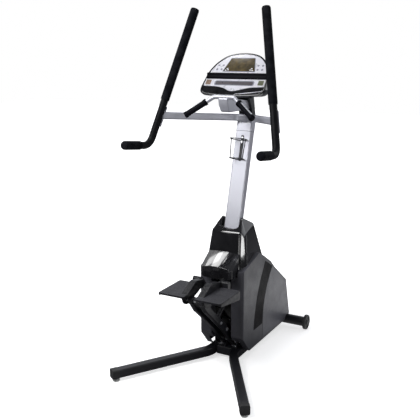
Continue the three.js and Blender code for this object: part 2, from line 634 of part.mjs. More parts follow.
function pedals() {
  const upper = shifted(PEDAL_PIN, LINK_OFFSET);
  const r = 10;
  const deck = (inset, z) => {
    const shape = new THREE.Shape();
    const [x0, x1] = [PEDAL.inner + inset, PEDAL.outer - inset];
    const [y0, y1] = [PEDAL.rear + inset, PEDAL.front - inset];
    shape.moveTo(x0 + r, y0);
    shape.lineTo(x1 - r, y0);
    shape.absarc(x1 - r, y0 + r, r, -Math.PI / 2, 0);
    shape.lineTo(x1, y1 - r);
    shape.absarc(x1 - r, y1 - r, r, 0, Math.PI / 2);
    shape.lineTo(x0 + r, y1);
    shape.absarc(x0 + r, y1 - r, r, Math.PI / 2, Math.PI);
    shape.lineTo(x0, y0 + r);
    shape.absarc(x0 + r, y0 + r, r, Math.PI, 1.5 * Math.PI);
    return layer(shape, z);
  };
  const cheek = slab([[-396, PEDAL.under + 1], [-378, 418], [-345, 402], [-214, 440], [-180, 466],
    [-180, 494], [-190, 506], [-206, 506], [-213, 497], [-213, PEDAL.under + 1]], [58, 64]);
  const hoodSide = [[-392, PEDAL.under + 1], [-392, PEDAL.top], [-318, 514], [-300, 520], [-219, 503],
    [-219, PEDAL.under + 1]];
  const hood = slab(hoodSide, [PEDAL.inner, 64]);
  const skirt = slab([[-425, 467], [-425, 458], [-230, 428], [-218, 432], [-218, 467]], [174, 177]);
  const pins = [rodX(PEDAL_PIN, 8, [12.8, 60]), rodX(PEDAL_PIN, 12, [12.5, 15.4]),
    rodX(upper, 7.5, [43, 60])];
  addPair('pedal', join(deck(0, [PEDAL.under, PEDAL.deck]), cheek, hood, skirt, ...pins), 'cover');
  const besideHood = block([PEDAL.inner - 1, 64 + GAP], [-392 - GAP, PEDAL.front + 1], [PEDAL.under, 480]);
  addPair('pedal_tread', cut(deck(3, [PEDAL.deck + GAP, PEDAL.top]), besideHood), 'tread');
}

function pivotShaft(name, spot, radius, hub, beside) {
  const collar = rodX(spot, hub, [beside + 0.6, PLATE_X[0] - 0.6]);
  add(name, join(rodX(spot, radius, [-72, 72], 14), collar, mirrored(collar)), 'steel');
}

// ---- drive ---------------------------------------------------------------------------------
function drive() {
  const centre = [DRIVE.y, DRIVE.z];
  add('drive_shaft', rodX(centre, DRIVE.shaft, [-78, 96], 14), 'steel');
  const bearing = (from, to) => cut(rodX(centre, 20, [from, to], 14),
    rodX(centre, DRIVE.shaft + 2 * GAP, [from - 1, to + 1], 14));
  addPair('shaft_bearing', bearing(PLATE_X[0], PLATE_X[0] + 9), 'steel');
  const [b0, b1] = BELT_X;
  const pulley = DRIVE.pulley;
  const profile = [[DRIVE.shaft + GAP, b0 - 4], [18, b0 - 4], [18, b0 + 3], [pulley - 12, b0 + 3],
    [pulley - 12, b0 - 1], [pulley, b0 - 1], [pulley, b1 + 1], [pulley - 12, b1 + 1], [pulley - 12, b1 - 3],
    [18, b1 - 3], [18, b1 + 3], [DRIVE.shaft + GAP, b1 + 3], [DRIVE.shaft + GAP, b0 - 4]];
  add('drive_pulley', turnedX(profile, 14), 'aluminium').position.set(0, ...centre);
  const [s0, s1] = STRAP_X;
  const spool = [[DRIVE.shaft + GAP, s0 - 2], [DRIVE.rim, s0 - 2], [DRIVE.rim, s0 - 0.5],
    [DRIVE.spool, s0 - 0.5], [DRIVE.spool, s1 + 0.5], [DRIVE.rim, s1 + 0.5], [DRIVE.rim, s1 + 2],
    [DRIVE.shaft + GAP, s1 + 2], [DRIVE.shaft + GAP, s0 - 2]];
  for (const [side, sign] of [['right', 1], ['left', -1]]) {
    const hub = add(`${side}_clutch_spool`, turnedX(spool, 14), 'steel');
    hub.position.set(0, ...centre);
    if (sign < 0) hub.rotation.z = Math.PI;
  }
}

function straps() {
  const mid = DRIVE.spool + GAP + STRAP.thick / 2 + 0.4;
  const [ky, kz] = STRAP.anchor;
  const dy = DRIVE.y - ky;
  const dz = DRIVE.z - kz;
  const tilt = Math.atan2(dz, dy) + Math.asin(mid / Math.hypot(dy, dz));
  const touch = tilt + Math.PI / 2;
  const away = [ky + Math.cos(tilt) * 8, kz + Math.sin(tilt) * 8];
  const over = arc([DRIVE.y, DRIVE.z], mid, touch, 0, 8);
  const route = [away, ...over, [DRIVE.y + mid, STRAP.end + 6]];
  addPair('step_strap', slab(strip(route, STRAP.thick), STRAP_X), 'belt');
}

function returnSprings() {
  const x = (STRAP_X[0] + STRAP_X[1]) / 2;
  const turns = 8;
  const stepsPerTurn = 6;
  const points = [];
  const low = SPRING_FOOT + 6;
  const high = STRAP.end - 2;
  for (let i = 0; i <= turns * stepsPerTurn; i += 1) {
    const angle = (i / stepsPerTurn) * 2 * Math.PI;
    points.push(new THREE.Vector3(x + 4.4 * Math.cos(angle), springY + 4.4 * Math.sin(angle),
      low + (high - low) * i / (turns * stepsPerTurn)));
  }
  const coil = sweep(ringSection(1.1, 0, 4), points);
  const endBlock = (z0, z1) => block([x - 4, x + 4], [springY - 4, springY + 4], [z0, z1]);
  addPair('return_spring', join(coil, endBlock(SPRING_FOOT, low + 1.5),
    endBlock(high - 1.5, STRAP.end + 5.5)), 'steel');
}

function alternator() {
  const centre = [ALTERNATOR.y, ALTERNATOR.z];
  const body = turnedX([[0, -45], [52, -45], [ALTERNATOR.radius, -38], [ALTERNATOR.radius, 44], [52, 54],
    [20, 54], [20, 60], [9, 60], [9, 54], [0, 54]], 14).translate(0, ...centre);
  add('alternator', body, 'aluminium');
  const [b0, b1] = BELT_X;
  const r = ALTERNATOR.pulley;
  const wheel = turnedX([[0, 54.5], [8.5, 54.5], [8.5, b0 - 6], [r + 4, b0 - 3], [r + 4, b0 - 1], [r, b0 - 1],
    [r, b1 + 1], [r + 4, b1 + 1], [r + 4, b1 + 3], [0, b1 + 3]], 24);
  add('alternator_pulley', wheel, 'steel').position.set(0, ...centre);
}

function driveBelt() {
  const loop = (grow) => {
    const r1 = DRIVE.pulley + grow;
    const r2 = ALTERNATOR.pulley + grow;
    const dy = ALTERNATOR.y - DRIVE.y;
    const dz = ALTERNATOR.z - DRIVE.z;
    const base = Math.atan2(dz, dy);
    const spread = Math.acos((r1 - r2) / Math.hypot(dy, dz));
    const big = arc([DRIVE.y, DRIVE.z], r1, base + spread, base + 2 * Math.PI - spread, 24);
    const small = arc([ALTERNATOR.y, ALTERNATOR.z], r2, base - spread, base + spread, 10);
    return [...big, ...small];
  };
  const shape = outline(loop(3.6));
  shape.holes.push(new THREE.Path(loop(0.6).map(([a, b]) => new THREE.Vector2(a, b))));
  add('drive_belt', slab(shape, BELT_X), 'belt');
}

function controlBoard() {
  const board = block([-88, -86], [120, 260], [270, 370]);
  const chips = [[140, 290], [190, 310], [220, 340]]
    .map(([y, z]) => block([-96, -87], [y, y + 26], [z, z + 20]));
  const posts = [[128, 278], [220, 362]].map((spot) => rodX(spot, 3, [-87, -PLATE_X[1] - GAP], 10));
  add('control_board', join(board, ...chips, ...posts), 'board');
}

// ---- assembly ------------------------------------------------------------------------------
add('base_frame', baseFrame(), 'frame');
legs();
levellingFeet();
stabiliser();
framePlates();
mast();
mastBolt();
handles();
crossbar();
pulseBar();
bottleCage();
consoleHead();
consoleBracket();
addPair('side_cover', sideCover(), 'cover');
upperShroud();
visor();
pedalArm();
levellingLink();
pedals();
pivotShaft('arm_shaft', ARM_PIVOT, 9, 14, ARM_X[1]);
pivotShaft('link_shaft', linkPivot, 8, 12, LINK_X[1]);
drive();
straps();
returnSprings();
alternator();
driveBelt();
controlBoard();
export default machine;
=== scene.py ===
"""Stair climber: the finished look of every piece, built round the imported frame.

Outlines and routes are in millimetres in the machine's own frame and are brought to metres when a
piece is made. +X is the user's right, +Y the way the user faces, +Z up.
"""
import math

import bmesh
import bpy
from bpy.props import FloatProperty, FloatVectorProperty, IntProperty, PointerProperty
from mathutils import Matrix, Vector
from mathutils.geometry import interpolate_bezier


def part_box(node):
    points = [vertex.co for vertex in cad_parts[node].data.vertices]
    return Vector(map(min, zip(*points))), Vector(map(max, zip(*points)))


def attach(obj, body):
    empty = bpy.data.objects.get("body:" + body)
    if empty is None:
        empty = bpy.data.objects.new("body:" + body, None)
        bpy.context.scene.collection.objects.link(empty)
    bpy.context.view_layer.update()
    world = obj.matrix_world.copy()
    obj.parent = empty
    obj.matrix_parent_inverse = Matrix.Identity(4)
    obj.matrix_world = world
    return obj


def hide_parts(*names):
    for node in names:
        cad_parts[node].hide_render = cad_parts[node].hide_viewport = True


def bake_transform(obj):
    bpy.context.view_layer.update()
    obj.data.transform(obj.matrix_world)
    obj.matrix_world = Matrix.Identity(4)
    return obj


bl_info = {
    "name": "Stair Climber",
    "version": (1, 0, 0),
    "blender": (4, 5, 0),
    "location": "3D View > Sidebar > Climber",
    "description": "Builds a gym stair climber round its packed frame",
    "category": "Add Mesh",
}

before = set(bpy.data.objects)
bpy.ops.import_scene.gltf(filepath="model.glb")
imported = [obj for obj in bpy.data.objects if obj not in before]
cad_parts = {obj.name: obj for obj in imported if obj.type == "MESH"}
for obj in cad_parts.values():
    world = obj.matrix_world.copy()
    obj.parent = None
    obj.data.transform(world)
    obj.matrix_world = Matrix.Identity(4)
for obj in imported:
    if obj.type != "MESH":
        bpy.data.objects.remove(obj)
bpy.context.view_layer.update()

MM = 0.001
SIDES = (("right", 1), ("left", -1))
# Outlines drawn as [y, z] and extruded along X.
SIDE_VIEW = Matrix(((0, 0, 1, 0), (1, 0, 0, 0), (0, 1, 0, 0), (0, 0, 0, 1)))

LEG_ROUTE = [(69.7, 60, 41.3), (69.7, -81, 41.3), (378.7, -568.9, 41.3)]
POLE_TOP = Vector((196, 1, 1860))
POLE_BEND = Vector((356, -207, 1175))
POLE_END = Vector((367, -421, 1201))
POLE_GRIP_HEIGHT = 1405
POLE_CLAMP_HEIGHT = 1327
CROSSBAR_CORNER = Vector((45, 170, 1301))
PULSE_INNER = Vector((90, -77, 1400))
PULSE_OUTER = Vector((191, -125, 1329))
MIRROR = Vector((-1, 1, 1))
MAST_PLACE = Matrix.Translation((0, 33, 735)) @ Matrix.Rotation(math.radians(-15.4), 4, "X")
CONSOLE_PLACE = Matrix.Translation((0, 18, 1450)) @ Matrix.Rotation(math.radians(48), 4, "X")
ARM_PIVOT = Vector((0, 0, 92))
PEDAL_PIN = Vector((0, -345, 430))
LINK_OFFSET = Vector((0, 145, 55))
ARM_LINE = [(0, 92), (-28, 112), (-121, 215), (-250, 332), (-302, 376), (-345, 430)]


# ---- sizes and colours a user would change --------------------------------------------------
def length(name, default, description):
    return FloatProperty(name=name, description=description, default=default, min=0.0, unit="LENGTH")


def colour(name, default, description):
    return FloatVectorProperty(
        name=name, description=description, default=default, subtype="COLOR", size=3, min=0.0, max=1.0
    )


class ClimberSizes(bpy.types.PropertyGroup):
    """Sizes of the finished pieces, in metres."""

    leg_corner: length("Leg corner", 0.007, "Corner radius of the square leg tube")
    leg_cap: length("Leg cap", 0.034, "Length of the cap on a leg's end")
    mast_corner: length("Mast corner", 0.006, "Corner radius of the mast")
    pole_radius: length("Pole radius", 0.019, "Radius of the handle poles")
    grip_radius: length("Grip radius", 0.0224, "Radius of the foam grips")
    cover_corner: length("Cover corner", 0.013, "Radius of the covers' upright corner beside the pedals")
    cover_edge: length("Cover edge", 0.010, "Radius of the covers' other outer edges")
    cover_wall: length("Cover wall", 0.003, "Wall of the moulded covers")
    shroud_edge: length("Shroud edge", 0.011, "Radius of the upper shroud's edges")
    visor_edge: length("Visor edge", 0.007, "Radius of the visor's edges")
    tread_pitch: length("Tread pitch", 0.0085, "Distance between the ribs on a pedal")
    wheel_radius: length("Wheel radius", 0.045, "Radius of the transport wheels")


class ClimberFinishes(bpy.types.PropertyGroup):
    """Colours of the finishes."""

    powder: colour("Frame paint", (0.0045, 0.0048, 0.0070), "Powder coat of the base, poles and arms")
    silver: colour("Silver paint", (0.50, 0.505, 0.56), "Mast, crossbar and pulse bar")
    gloss: colour("Gloss black", (0.0035, 0.0035, 0.0045), "Upper shroud, visor and console case")
    charcoal: colour("Cover plastic", (0.042, 0.042, 0.050), "Side covers")
    panel: colour("Cover panel", (0.066, 0.067, 0.080), "Front panel of the side covers")
    foam: colour("Foam", (0.0020, 0.0023, 0.0040), "Foam of the grips")
    tread: colour("Pedal rubber", (0.022, 0.022, 0.027), "Tread of the pedals")
    face: colour("Console silver", (0.55, 0.55, 0.60), "Panels of the console")
    display: colour("Display", (0.055, 0.043, 0.018), "Unlit display glass")
    stop: colour("Stop key", (0.17, 0.095, 0.055), "Print of the stop key")
    start: colour("Start key", (0.065, 0.072, 0.036), "Print of the start key")


class ClimberStudio(bpy.types.PropertyGroup):
    """Light and view."""

    lens: FloatProperty(name="Lens", description="Focal length of the camera in millimetres", default=58.47)
    azimuth: FloatProperty(
        name="Azimuth", description="Turn of the camera about the machine", default=math.radians(28.68),
        subtype="ANGLE",
    )
    pitch: FloatProperty(
        name="Pitch", description="How far the camera looks down", default=math.radians(13.47),
        subtype="ANGLE",
    )
    roll: FloatProperty(
        name="Roll", description="Roll of the camera", default=math.radians(-0.14), subtype="ANGLE"
    )
    backdrop: FloatProperty(name="Backdrop", description="Brightness of the backdrop", default=1.0)
    fill: FloatProperty(name="Fill", description="Strength of the light from the camera's side", default=0.08)
    sweep: FloatProperty(name="Sweep", description="Strength of the white sweep behind", default=0.9)
    grip_pores: IntProperty(name="Grip pores", description="Pores of the foam per metre", default=900)


def sizes():
    return bpy.context.scene.climber_sizes


# ---- finishes -------------------------------------------------------------------------------
class Finish:
    """One node material, put together step by step."""

    def __init__(self, name, base, roughness, metallic=0.0, specular=0.5, coat=0.0, coat_roughness=0.05,
                 sheen=0.0, ior=1.5):
        self.material = bpy.data.materials.new(name)
        self.material.use_nodes = True
        self.material.diffuse_color = (*base, 1.0)
        self.nodes = self.material.node_tree.nodes
        self.links = self.material.node_tree.links
        self.shader = self.nodes["Principled BSDF"]
        self.base = tuple(base)
        self.set("Base Color", (*base, 1.0))
        self.set("Roughness", roughness)
        self.set("Metallic", metallic)
        self.set("Specular IOR Level", specular)
        self.set("Coat Weight", coat)
        self.set("Coat Roughness", coat_roughness)
        self.set("Sheen Weight", sheen)
        self.set("IOR", ior)
        place = self.nodes.new("ShaderNodeTexCoord")
        self.mapping = self.nodes.new("ShaderNodeMapping")
        self.link(place.outputs["Object"], self.mapping.inputs["Vector"])
        self.relief = None
        self.tint = None

    def set(self, socket, value):
        self.shader.inputs[socket].default_value = value

    def link(self, out, into):
        self.links.new(out, into)

    def stretched(self, scale):
        node = self.nodes.new("ShaderNodeMapping")
        node.inputs["Scale"].default_value = scale
        self.link(self.mapping.outputs["Vector"], node.inputs["Vector"])
        return node.outputs["Vector"]

    def noise(self, scale, detail=4.0, roughness=0.55, stretch=(1, 1, 1)):
        node = self.nodes.new("ShaderNodeTexNoise")
        node.inputs["Scale"].default_value = scale
        node.inputs["Detail"].default_value = detail
        node.inputs["Roughness"].default_value = roughness
        self.link(self.stretched(stretch), node.inputs["Vector"])
        return node.outputs["Fac"]

    def cells(self, scale, feature="F1"):
        node = self.nodes.new("ShaderNodeTexVoronoi")
        node.feature = feature
        node.inputs["Scale"].default_value = scale
        self.link(self.mapping.outputs["Vector"], node.inputs["Vector"])
        return node.outputs["Distance"]

    def waves(self, scale, direction, distortion=0.0):
        node = self.nodes.new("ShaderNodeTexWave")
        node.bands_direction = direction
        node.inputs["Scale"].default_value = scale
        node.inputs["Distortion"].default_value = distortion
        self.link(self.mapping.outputs["Vector"], node.inputs["Vector"])
        return node.outputs["Fac"]

    def span(self, value, low, high, from_low=0.3, from_high=0.7):
        node = self.nodes.new("ShaderNodeMapRange")
        node.inputs["From Min"].default_value = from_low
        node.inputs["From Max"].default_value = from_high
        node.inputs["To Min"].default_value = low
        node.inputs["To Max"].default_value = high
        self.link(value, node.inputs["Value"])
        return node.outputs["Result"]

    def tinted(self, value, other, low=0.0, high=1.0, from_low=0.3, from_high=0.7):
        """Mixes the colour so far with another one, by a value."""
        node = self.nodes.new("ShaderNodeMix")
        node.data_type = "RGBA"
        if self.tint is None:
            node.inputs["A"].default_value = (*self.base, 1.0)
        else:
            self.link(self.tint, node.inputs["A"])
        node.inputs["B"].default_value = (*other, 1.0)
        self.link(self.span(value, low, high, from_low, from_high), node.inputs["Factor"])
        self.tint = node.outputs["Result"]
        self.link(self.tint, self.shader.inputs["Base Color"])
        return self

    def mottled(self, scale, amount, detail=5.0, stretch=(1, 1, 1)):
        """Slow light and dark patches."""
        other = tuple(min(1.0, c * (1 + amount) + 0.01 * amount) for c in self.base)
        return self.tinted(self.noise(scale, detail, stretch=stretch), other)

    def roughness_between(self, low, high, scale, detail=4.0, stretch=(1, 1, 1)):
        value = self.span(self.noise(scale, detail, stretch=stretch), low, high)
        self.link(value, self.shader.inputs["Roughness"])
        return self

    def bumped(self, value, distance, strength=1.0):
        node = self.nodes.new("ShaderNodeBump")
        node.inputs["Strength"].default_value = strength
        node.inputs["Distance"].default_value = distance
        self.link(value, node.inputs["Height"])
        if self.relief is not None:
            self.link(self.relief, node.inputs["Normal"])
        self.relief = node.outputs["Normal"]
        self.link(self.relief, self.shader.inputs["Normal"])
        return self

    def worn(self, other, low=0.53, high=0.60, amount=0.6):
        """Lighter where edges are rubbed."""
        node = self.nodes.new("ShaderNodeNewGeometry")
        return self.tinted(node.outputs["Pointiness"], other, 0.0, amount, low, high)

    def glow_around(self, centre, near, far, low, high):
        """A glow whose strength follows the distance from a point, in metres."""
        distance = self.nodes.new("ShaderNodeVectorMath")
        distance.operation = "DISTANCE"
        distance.inputs[1].default_value = centre
        glow = self.nodes.new("ShaderNodeEmission")
        self.link(self.mapping.outputs["Vector"], distance.inputs[0])
        self.link(self.span(distance.outputs["Value"], low, high, near, far), glow.inputs["Strength"])
        return glow.outputs["Emission"]


def powder_coat(paint):
    finish = Finish("powder_coat", paint.powder, 0.36, specular=0.3, coat=0.05, coat_roughness=0.2)
    finish.mottled(9.0, 0.5).roughness_between(0.30, 0.44, 26.0)
    finish.bumped(finish.noise(700.0, 3.0), 0.00012, 0.55).bumped(finish.noise(160.0, 2.0), 0.0002, 0.25)
    return finish.worn((0.05, 0.05, 0.055))


def pole_black(paint):
    finish = Finish("pole_black", tuple(c * 0.6 for c in paint.powder), 0.5, ior=1.2)
    finish.mottled(14.0, 0.5).roughness_between(0.42, 0.56, 30.0)
    return finish.bumped(finish.noise(650.0, 3.0), 0.0001, 0.5)


def silver_paint(paint):
    finish = Finish("silver_paint", paint.silver, 0.36, metallic=0.45, coat=0.5, coat_roughness=0.12)
    finish.tinted(finish.cells(2200.0), tuple(c * 1.18 for c in paint.silver), 0.0, 0.7, 0.1, 0.6)
    finish.roughness_between(0.30, 0.42, 14.0)
    return finish.bumped(finish.noise(500.0, 2.0), 0.00006, 0.5)


def gloss_black(paint):
    finish = Finish("gloss_black", paint.gloss, 0.09, specular=0.55, coat=0.5, coat_roughness=0.04)
    finish.mottled(12.0, 0.8).roughness_between(0.06, 0.11, 40.0)
    finish.bumped(finish.noise(11.0, 1.5), 0.0016, 0.25).bumped(finish.noise(420.0, 2.0), 0.00003, 0.4)
    return finish.worn((0.03, 0.03, 0.034), 0.56, 0.66, 0.5)


def cover_plastic(name, shade, ior=1.45):
    finish = Finish(name, shade, 0.42, ior=ior)
    finish.mottled(6.0, 0.25).roughness_between(0.36, 0.48, 18.0)
    finish.bumped(finish.cells(1500.0), 0.00016, 0.55).bumped(finish.noise(8.0, 1.5), 0.0018, 0.2)
    return finish.worn(tuple(c * 2.2 for c in shade), 0.55, 0.64, 0.5)


def foam(paint):
    finish = Finish("foam", paint.foam, 0.72, ior=1.12)
    pores = bpy.context.scene.climber_studio.grip_pores
    finish.mottled(30.0, 0.9).roughness_between(0.6, 0.8, 60.0)
    finish.bumped(finish.cells(pores), 0.0004, 0.7).bumped(finish.noise(60.0, 3.0), 0.0006, 0.35)
    return finish


def pedal_casting(paint):
    finish = Finish("pedal_casting", (0.0065, 0.0065, 0.0085), 0.45, specular=0.25)
    finish.mottled(24.0, 0.7).roughness_between(0.34, 0.5, 50.0)
    finish.bumped(finish.noise(380.0, 4.0), 0.00025, 0.6)
    return finish.worn((0.04, 0.04, 0.045), 0.55, 0.64, 0.5)


def pedal_rubber(paint):
    finish = Finish("pedal_rubber", paint.tread, 0.5, specular=0.5, sheen=0.05)
    finish.mottled(20.0, 0.45).roughness_between(0.42, 0.6, 45.0)
    finish.bumped(finish.cells(900.0), 0.0003, 0.6).bumped(finish.noise(90.0, 3.0), 0.0003, 0.3)
    return finish.worn(tuple(c * 1.7 for c in paint.tread))


def steel(paint):
    finish = Finish("steel", (0.55, 0.56, 0.58), 0.3, metallic=1.0)
    finish.mottled(60.0, 0.25).roughness_between(0.2, 0.42, 90.0, stretch=(1, 1, 6))
    return finish.bumped(finish.noise(300.0, 2.0, stretch=(1, 1, 12)), 0.00008, 0.5)


def black_rubber(paint):
    finish = Finish("black_rubber", (0.017, 0.017, 0.018), 0.62, specular=0.4)
    finish.mottled(30.0, 0.6).roughness_between(0.5, 0.72, 40.0)
    return finish.bumped(finish.noise(500.0, 4.0), 0.0002, 0.6)


def webbing(paint):
    finish = Finish("webbing", (0.02, 0.02, 0.024), 0.78, specular=0.3, sheen=0.3)
    finish.mottled(40.0, 0.8)
    return finish.bumped(finish.waves(180.0, "X"), 0.0005, 0.8).bumped(finish.waves(260.0, "Z"), 0.0005, 0.8)


def aluminium(paint):
    finish = Finish("aluminium", (0.52, 0.53, 0.55), 0.38, metallic=0.95)
    finish.mottled(35.0, 0.3).roughness_between(0.3, 0.5, 60.0)
    return finish.bumped(finish.noise(420.0, 4.0), 0.0002, 0.5)


def foot_plastic(paint):
    finish = Finish("foot_plastic", (0.62, 0.63, 0.61), 0.35, specular=0.5)
    finish.mottled(40.0, 0.2).roughness_between(0.28, 0.44, 50.0)
    return finish.bumped(finish.noise(260.0, 3.0), 0.0001, 0.5)


def console_silver(paint):
    finish = Finish("console_silver", paint.face, 0.30, metallic=0.25, coat=0.35, coat_roughness=0.1)
    finish.tinted(finish.cells(2600.0), tuple(min(1.0, c * 1.15) for c in paint.face), 0.0, 0.7, 0.1, 0.6)
    return finish.roughness_between(0.24, 0.38, 30.0).bumped(finish.noise(600.0, 2.0), 0.00004, 0.5)


def display_glass(paint):
    finish = Finish("display_glass", paint.display, 0.09, specular=0.5, coat=0.3, coat_roughness=0.03)
    finish.tinted(finish.noise(24.0, 3.0), (0.15, 0.10, 0.03), 0.0, 0.85)
    finish.tinted(finish.noise(46.0, 2.0), (0.02, 0.018, 0.012), 0.0, 0.7)
    finish.tinted(finish.waves(190.0, "X"), (0.03, 0.03, 0.02), 0.0, 0.35, 0.6, 0.9)
    return finish.roughness_between(0.06, 0.13, 70.0)


def printed(name, shade, light):
    finish = Finish(name, shade, 0.34, specular=0.5, coat=0.25, coat_roughness=0.08)
    finish.tinted(finish.noise(90.0, 3.0), light, 0.0, 0.45).roughness_between(0.26, 0.42, 80.0)
    return finish.bumped(finish.noise(700.0, 2.0), 0.00005, 0.5)


def circuit_board(paint):
    finish = Finish("circuit_board", (0.02, 0.12, 0.045), 0.4, specular=0.5)
    finish.tinted(finish.waves(90.0, "Y", 3.0), (0.05, 0.2, 0.08), 0.0, 0.8, 0.55, 0.75)
    return finish.bumped(finish.cells(260.0), 0.0003, 0.5)


def contact_metal(paint):
    finish = Finish("contact_metal", (0.72, 0.73, 0.76), 0.24, metallic=0.9)
    finish.mottled(40.0, 0.15).roughness_between(0.16, 0.32, 70.0, stretch=(1, 6, 1))
    return finish.bumped(finish.noise(420.0, 2.0, stretch=(1, 8, 1)), 0.00005, 0.5)


FINISH = {}


def mix_finishes():
    paint = bpy.context.scene.climber_finishes
    for make in (powder_coat, silver_paint, gloss_black, foam, pedal_casting, pedal_rubber, steel,
                 black_rubber, webbing, aluminium, foot_plastic, console_silver, display_glass,
                 circuit_board, contact_metal):
        FINISH[make.__name__] = make(paint).material
    FINISH["cover_plastic"] = cover_plastic("cover_plastic", paint.charcoal).material
    FINISH["cover_panel"] = cover_plastic("cover_panel", paint.panel).material
    FINISH["cover_band"] = cover_plastic("cover_band", (0.003, 0.003, 0.004), 1.1).material
    FINISH["dark_trim"] = cover_plastic("dark_trim", (0.004, 0.004, 0.006), 1.1).material
    FINISH["pole_black"] = pole_black(paint).material
    FINISH["stop_print"] = printed("stop_print", paint.stop, (0.24, 0.155, 0.10)).material
    FINISH["start_print"] = printed("start_print", paint.start, (0.12, 0.135, 0.07)).material
    FINISH["pad_print"] = printed("pad_print", (0.66, 0.66, 0.68), (0.8, 0.8, 0.82)).material
    FINISH["key_print"] = printed("key_print", (0.16, 0.165, 0.21), (0.24, 0.25, 0.31)).material
    FINISH["slot_print"] = printed("slot_print", (0.028, 0.022, 0.03), (0.06, 0.05, 0.062)).material


# ---- shapes ---------------------------------------------------------------------------------
def verts_of(geometry):
    return [g for g in geometry if isinstance(g, bmesh.types.BMVert)]


def edges_of(geometry):
    return [g for g in geometry if isinstance(g, bmesh.types.BMEdge)]


def outline(points, corners=0.0, steps=5):
    """A flat face in XY, with its corners rounded by one radius or by one for each corner."""
    bm = bmesh.new()
    rim = [bm.verts.new((*point, 0)) for point in points]
    bmesh.ops.contextual_create(bm, geom=rim)
    bmesh.ops.recalc_face_normals(bm, faces=bm.faces)
    radii = corners if isinstance(corners, (list, tuple)) else [corners] * len(rim)
    for radius in sorted(set(radii)):
        if radius:
            bmesh.ops.bevel(bm, geom=[v for v, r in zip(rim, radii) if r == radius], offset=radius,
                            offset_type="OFFSET", segments=steps, profile=0.5, affect="VERTICES",
                            clamp_overlap=True, material=-1)
    return bm


def slab(points, low, high, place=None, corners=0.0, steps=5):
    """An outline extruded from one height to another, then put in place."""
    bm = outline(points, corners, steps)
    made = bmesh.ops.extrude_face_region(bm, geom=list(bm.faces))["geom"]
    bmesh.ops.translate(bm, vec=(0, 0, high - low), verts=verts_of(made))
    bmesh.ops.translate(bm, vec=(0, 0, low), verts=bm.verts)
    bmesh.ops.recalc_face_normals(bm, faces=bm.faces)
    return moved(bm, place)


def moved(bm, place):
    if place is not None:
        bmesh.ops.transform(bm, matrix=place, verts=bm.verts)
    return bm


def block(low, high, place=None):
    bm = bmesh.new()
    bmesh.ops.create_cube(bm, size=1)
    low, high = Vector(low), Vector(high)
    bmesh.ops.scale(bm, vec=high - low, verts=bm.verts)
    bmesh.ops.translate(bm, vec=(low + high) / 2, verts=bm.verts)
    return moved(bm, place)


def rounded(bm, radius, steps=3, where=None, sharper=20.0):
    """Bevels the edges sharper than an angle, or those of them that a test picks."""
    picked = [
        e for e in bm.edges
        if e.is_manifold and e.calc_face_angle(0.0) > math.radians(sharper)
        and (where is None or where((e.verts[0].co + e.verts[1].co) / 2, e))
    ]
    if picked:
        bmesh.ops.bevel(bm, geom=picked, offset=radius, offset_type="OFFSET", segments=steps, profile=0.5,
                        affect="EDGES", clamp_overlap=True, material=-1)
    return bm


def turned(profile, place=None, steps=48):
    """A [radius, height] profile spun about Z."""
    bm = bmesh.new()
    rim = [bm.verts.new((radius, 0, height)) for radius, height in profile]
    line = [bm.edges.new(pair) for pair in zip(rim, rim[1:])]
    bmesh.ops.spin(bm, geom=rim + line, cent=(0, 0, 0), axis=(0, 0, 1), angle=math.tau, steps=steps,
                   use_merge=True, use_duplicate=False)
    bmesh.ops.remove_doubles(bm, verts=bm.verts, dist=1e-3)
    bmesh.ops.recalc_face_normals(bm, faces=bm.faces)
    return moved(bm, place)


def ring(radius, sides):
    bm = bmesh.new()
    bmesh.ops.create_circle(bm, cap_ends=False, radius=radius, segments=sides)
    return bm


def hollow(bm):
    """Only the rim of a flat outline."""
    bmesh.ops.delete(bm, geom=list(bm.faces), context="FACES_ONLY")
    return bm


def carried(bm, places):
    """Carries a ring through a list of places, skinning it as it goes, and closes both ends."""
    bmesh.ops.transform(bm, matrix=places[0], verts=bm.verts)
    start = last = list(bm.edges)
    for before, after in zip(places, places[1:]):
        made = bmesh.ops.extrude_edge_only(bm, edges=last)["geom"]
        fresh = set(verts_of(made))
        last = [e for e in edges_of(made) if fresh.issuperset(e.verts)]
        bmesh.ops.transform(bm, matrix=after @ before.inverted(), verts=list(fresh))
    for rim in (start, last):
        bmesh.ops.contextual_create(bm, geom=rim)
    bmesh.ops.recalc_face_normals(bm, faces=bm.faces)
    return bm


def bent(corners, radius, steps=12):
    """A route through corners, each inner one rounded."""
    points = [Vector(corner) for corner in corners]
    route = [points[0]]
    for before, corner, after in zip(points, points[1:], points[2:]):
        back, on = (before - corner).normalized(), (after - corner).normalized()
        reach = radius / math.tan(back.angle(on) / 2)
        start, end = corner + back * reach, corner + on * reach
        handles = start.lerp(corner, 2 / 3), end.lerp(corner, 2 / 3)
        route += interpolate_bezier(start, *handles, end, steps + 1)
    return route + [points[-1]]


def standing(point, along, up):
    """A place at a point, its Z along one direction and its Y as near up as it can be."""
    along = Vector(along).normalized()
    up = Vector(up)
    up = (up - along * up.dot(along)).normalized()
    side = up.cross(along)
    return Matrix.Translation(point) @ Matrix((side, up, along)).transposed().to_4x4()


def places_along(route, up):
    places = []
    for i, point in enumerate(route):
        before, after = route[max(i - 1, 0)], route[min(i + 1, len(route) - 1)]
        places.append(standing(point, after - before, up))
    return places


def pipe(route, radius, up, sides=28):
    return carried(ring(radius, sides), places_along(route, up))


def bar(route, width, height, corner, up, steps=4):
    half, high = width / 2, height / 2
    section = hollow(outline([(-half, -high), (half, -high), (half, high), (-half, high)], corner, steps))
    return carried(section, places_along(route, up))


def joined(*parts):
    first, *rest = parts
    for other in rest:
        mesh = bpy.data.meshes.new("join")
        other.to_mesh(mesh)
        other.free()
        first.from_mesh(mesh)
        bpy.data.meshes.remove(mesh)
    return first


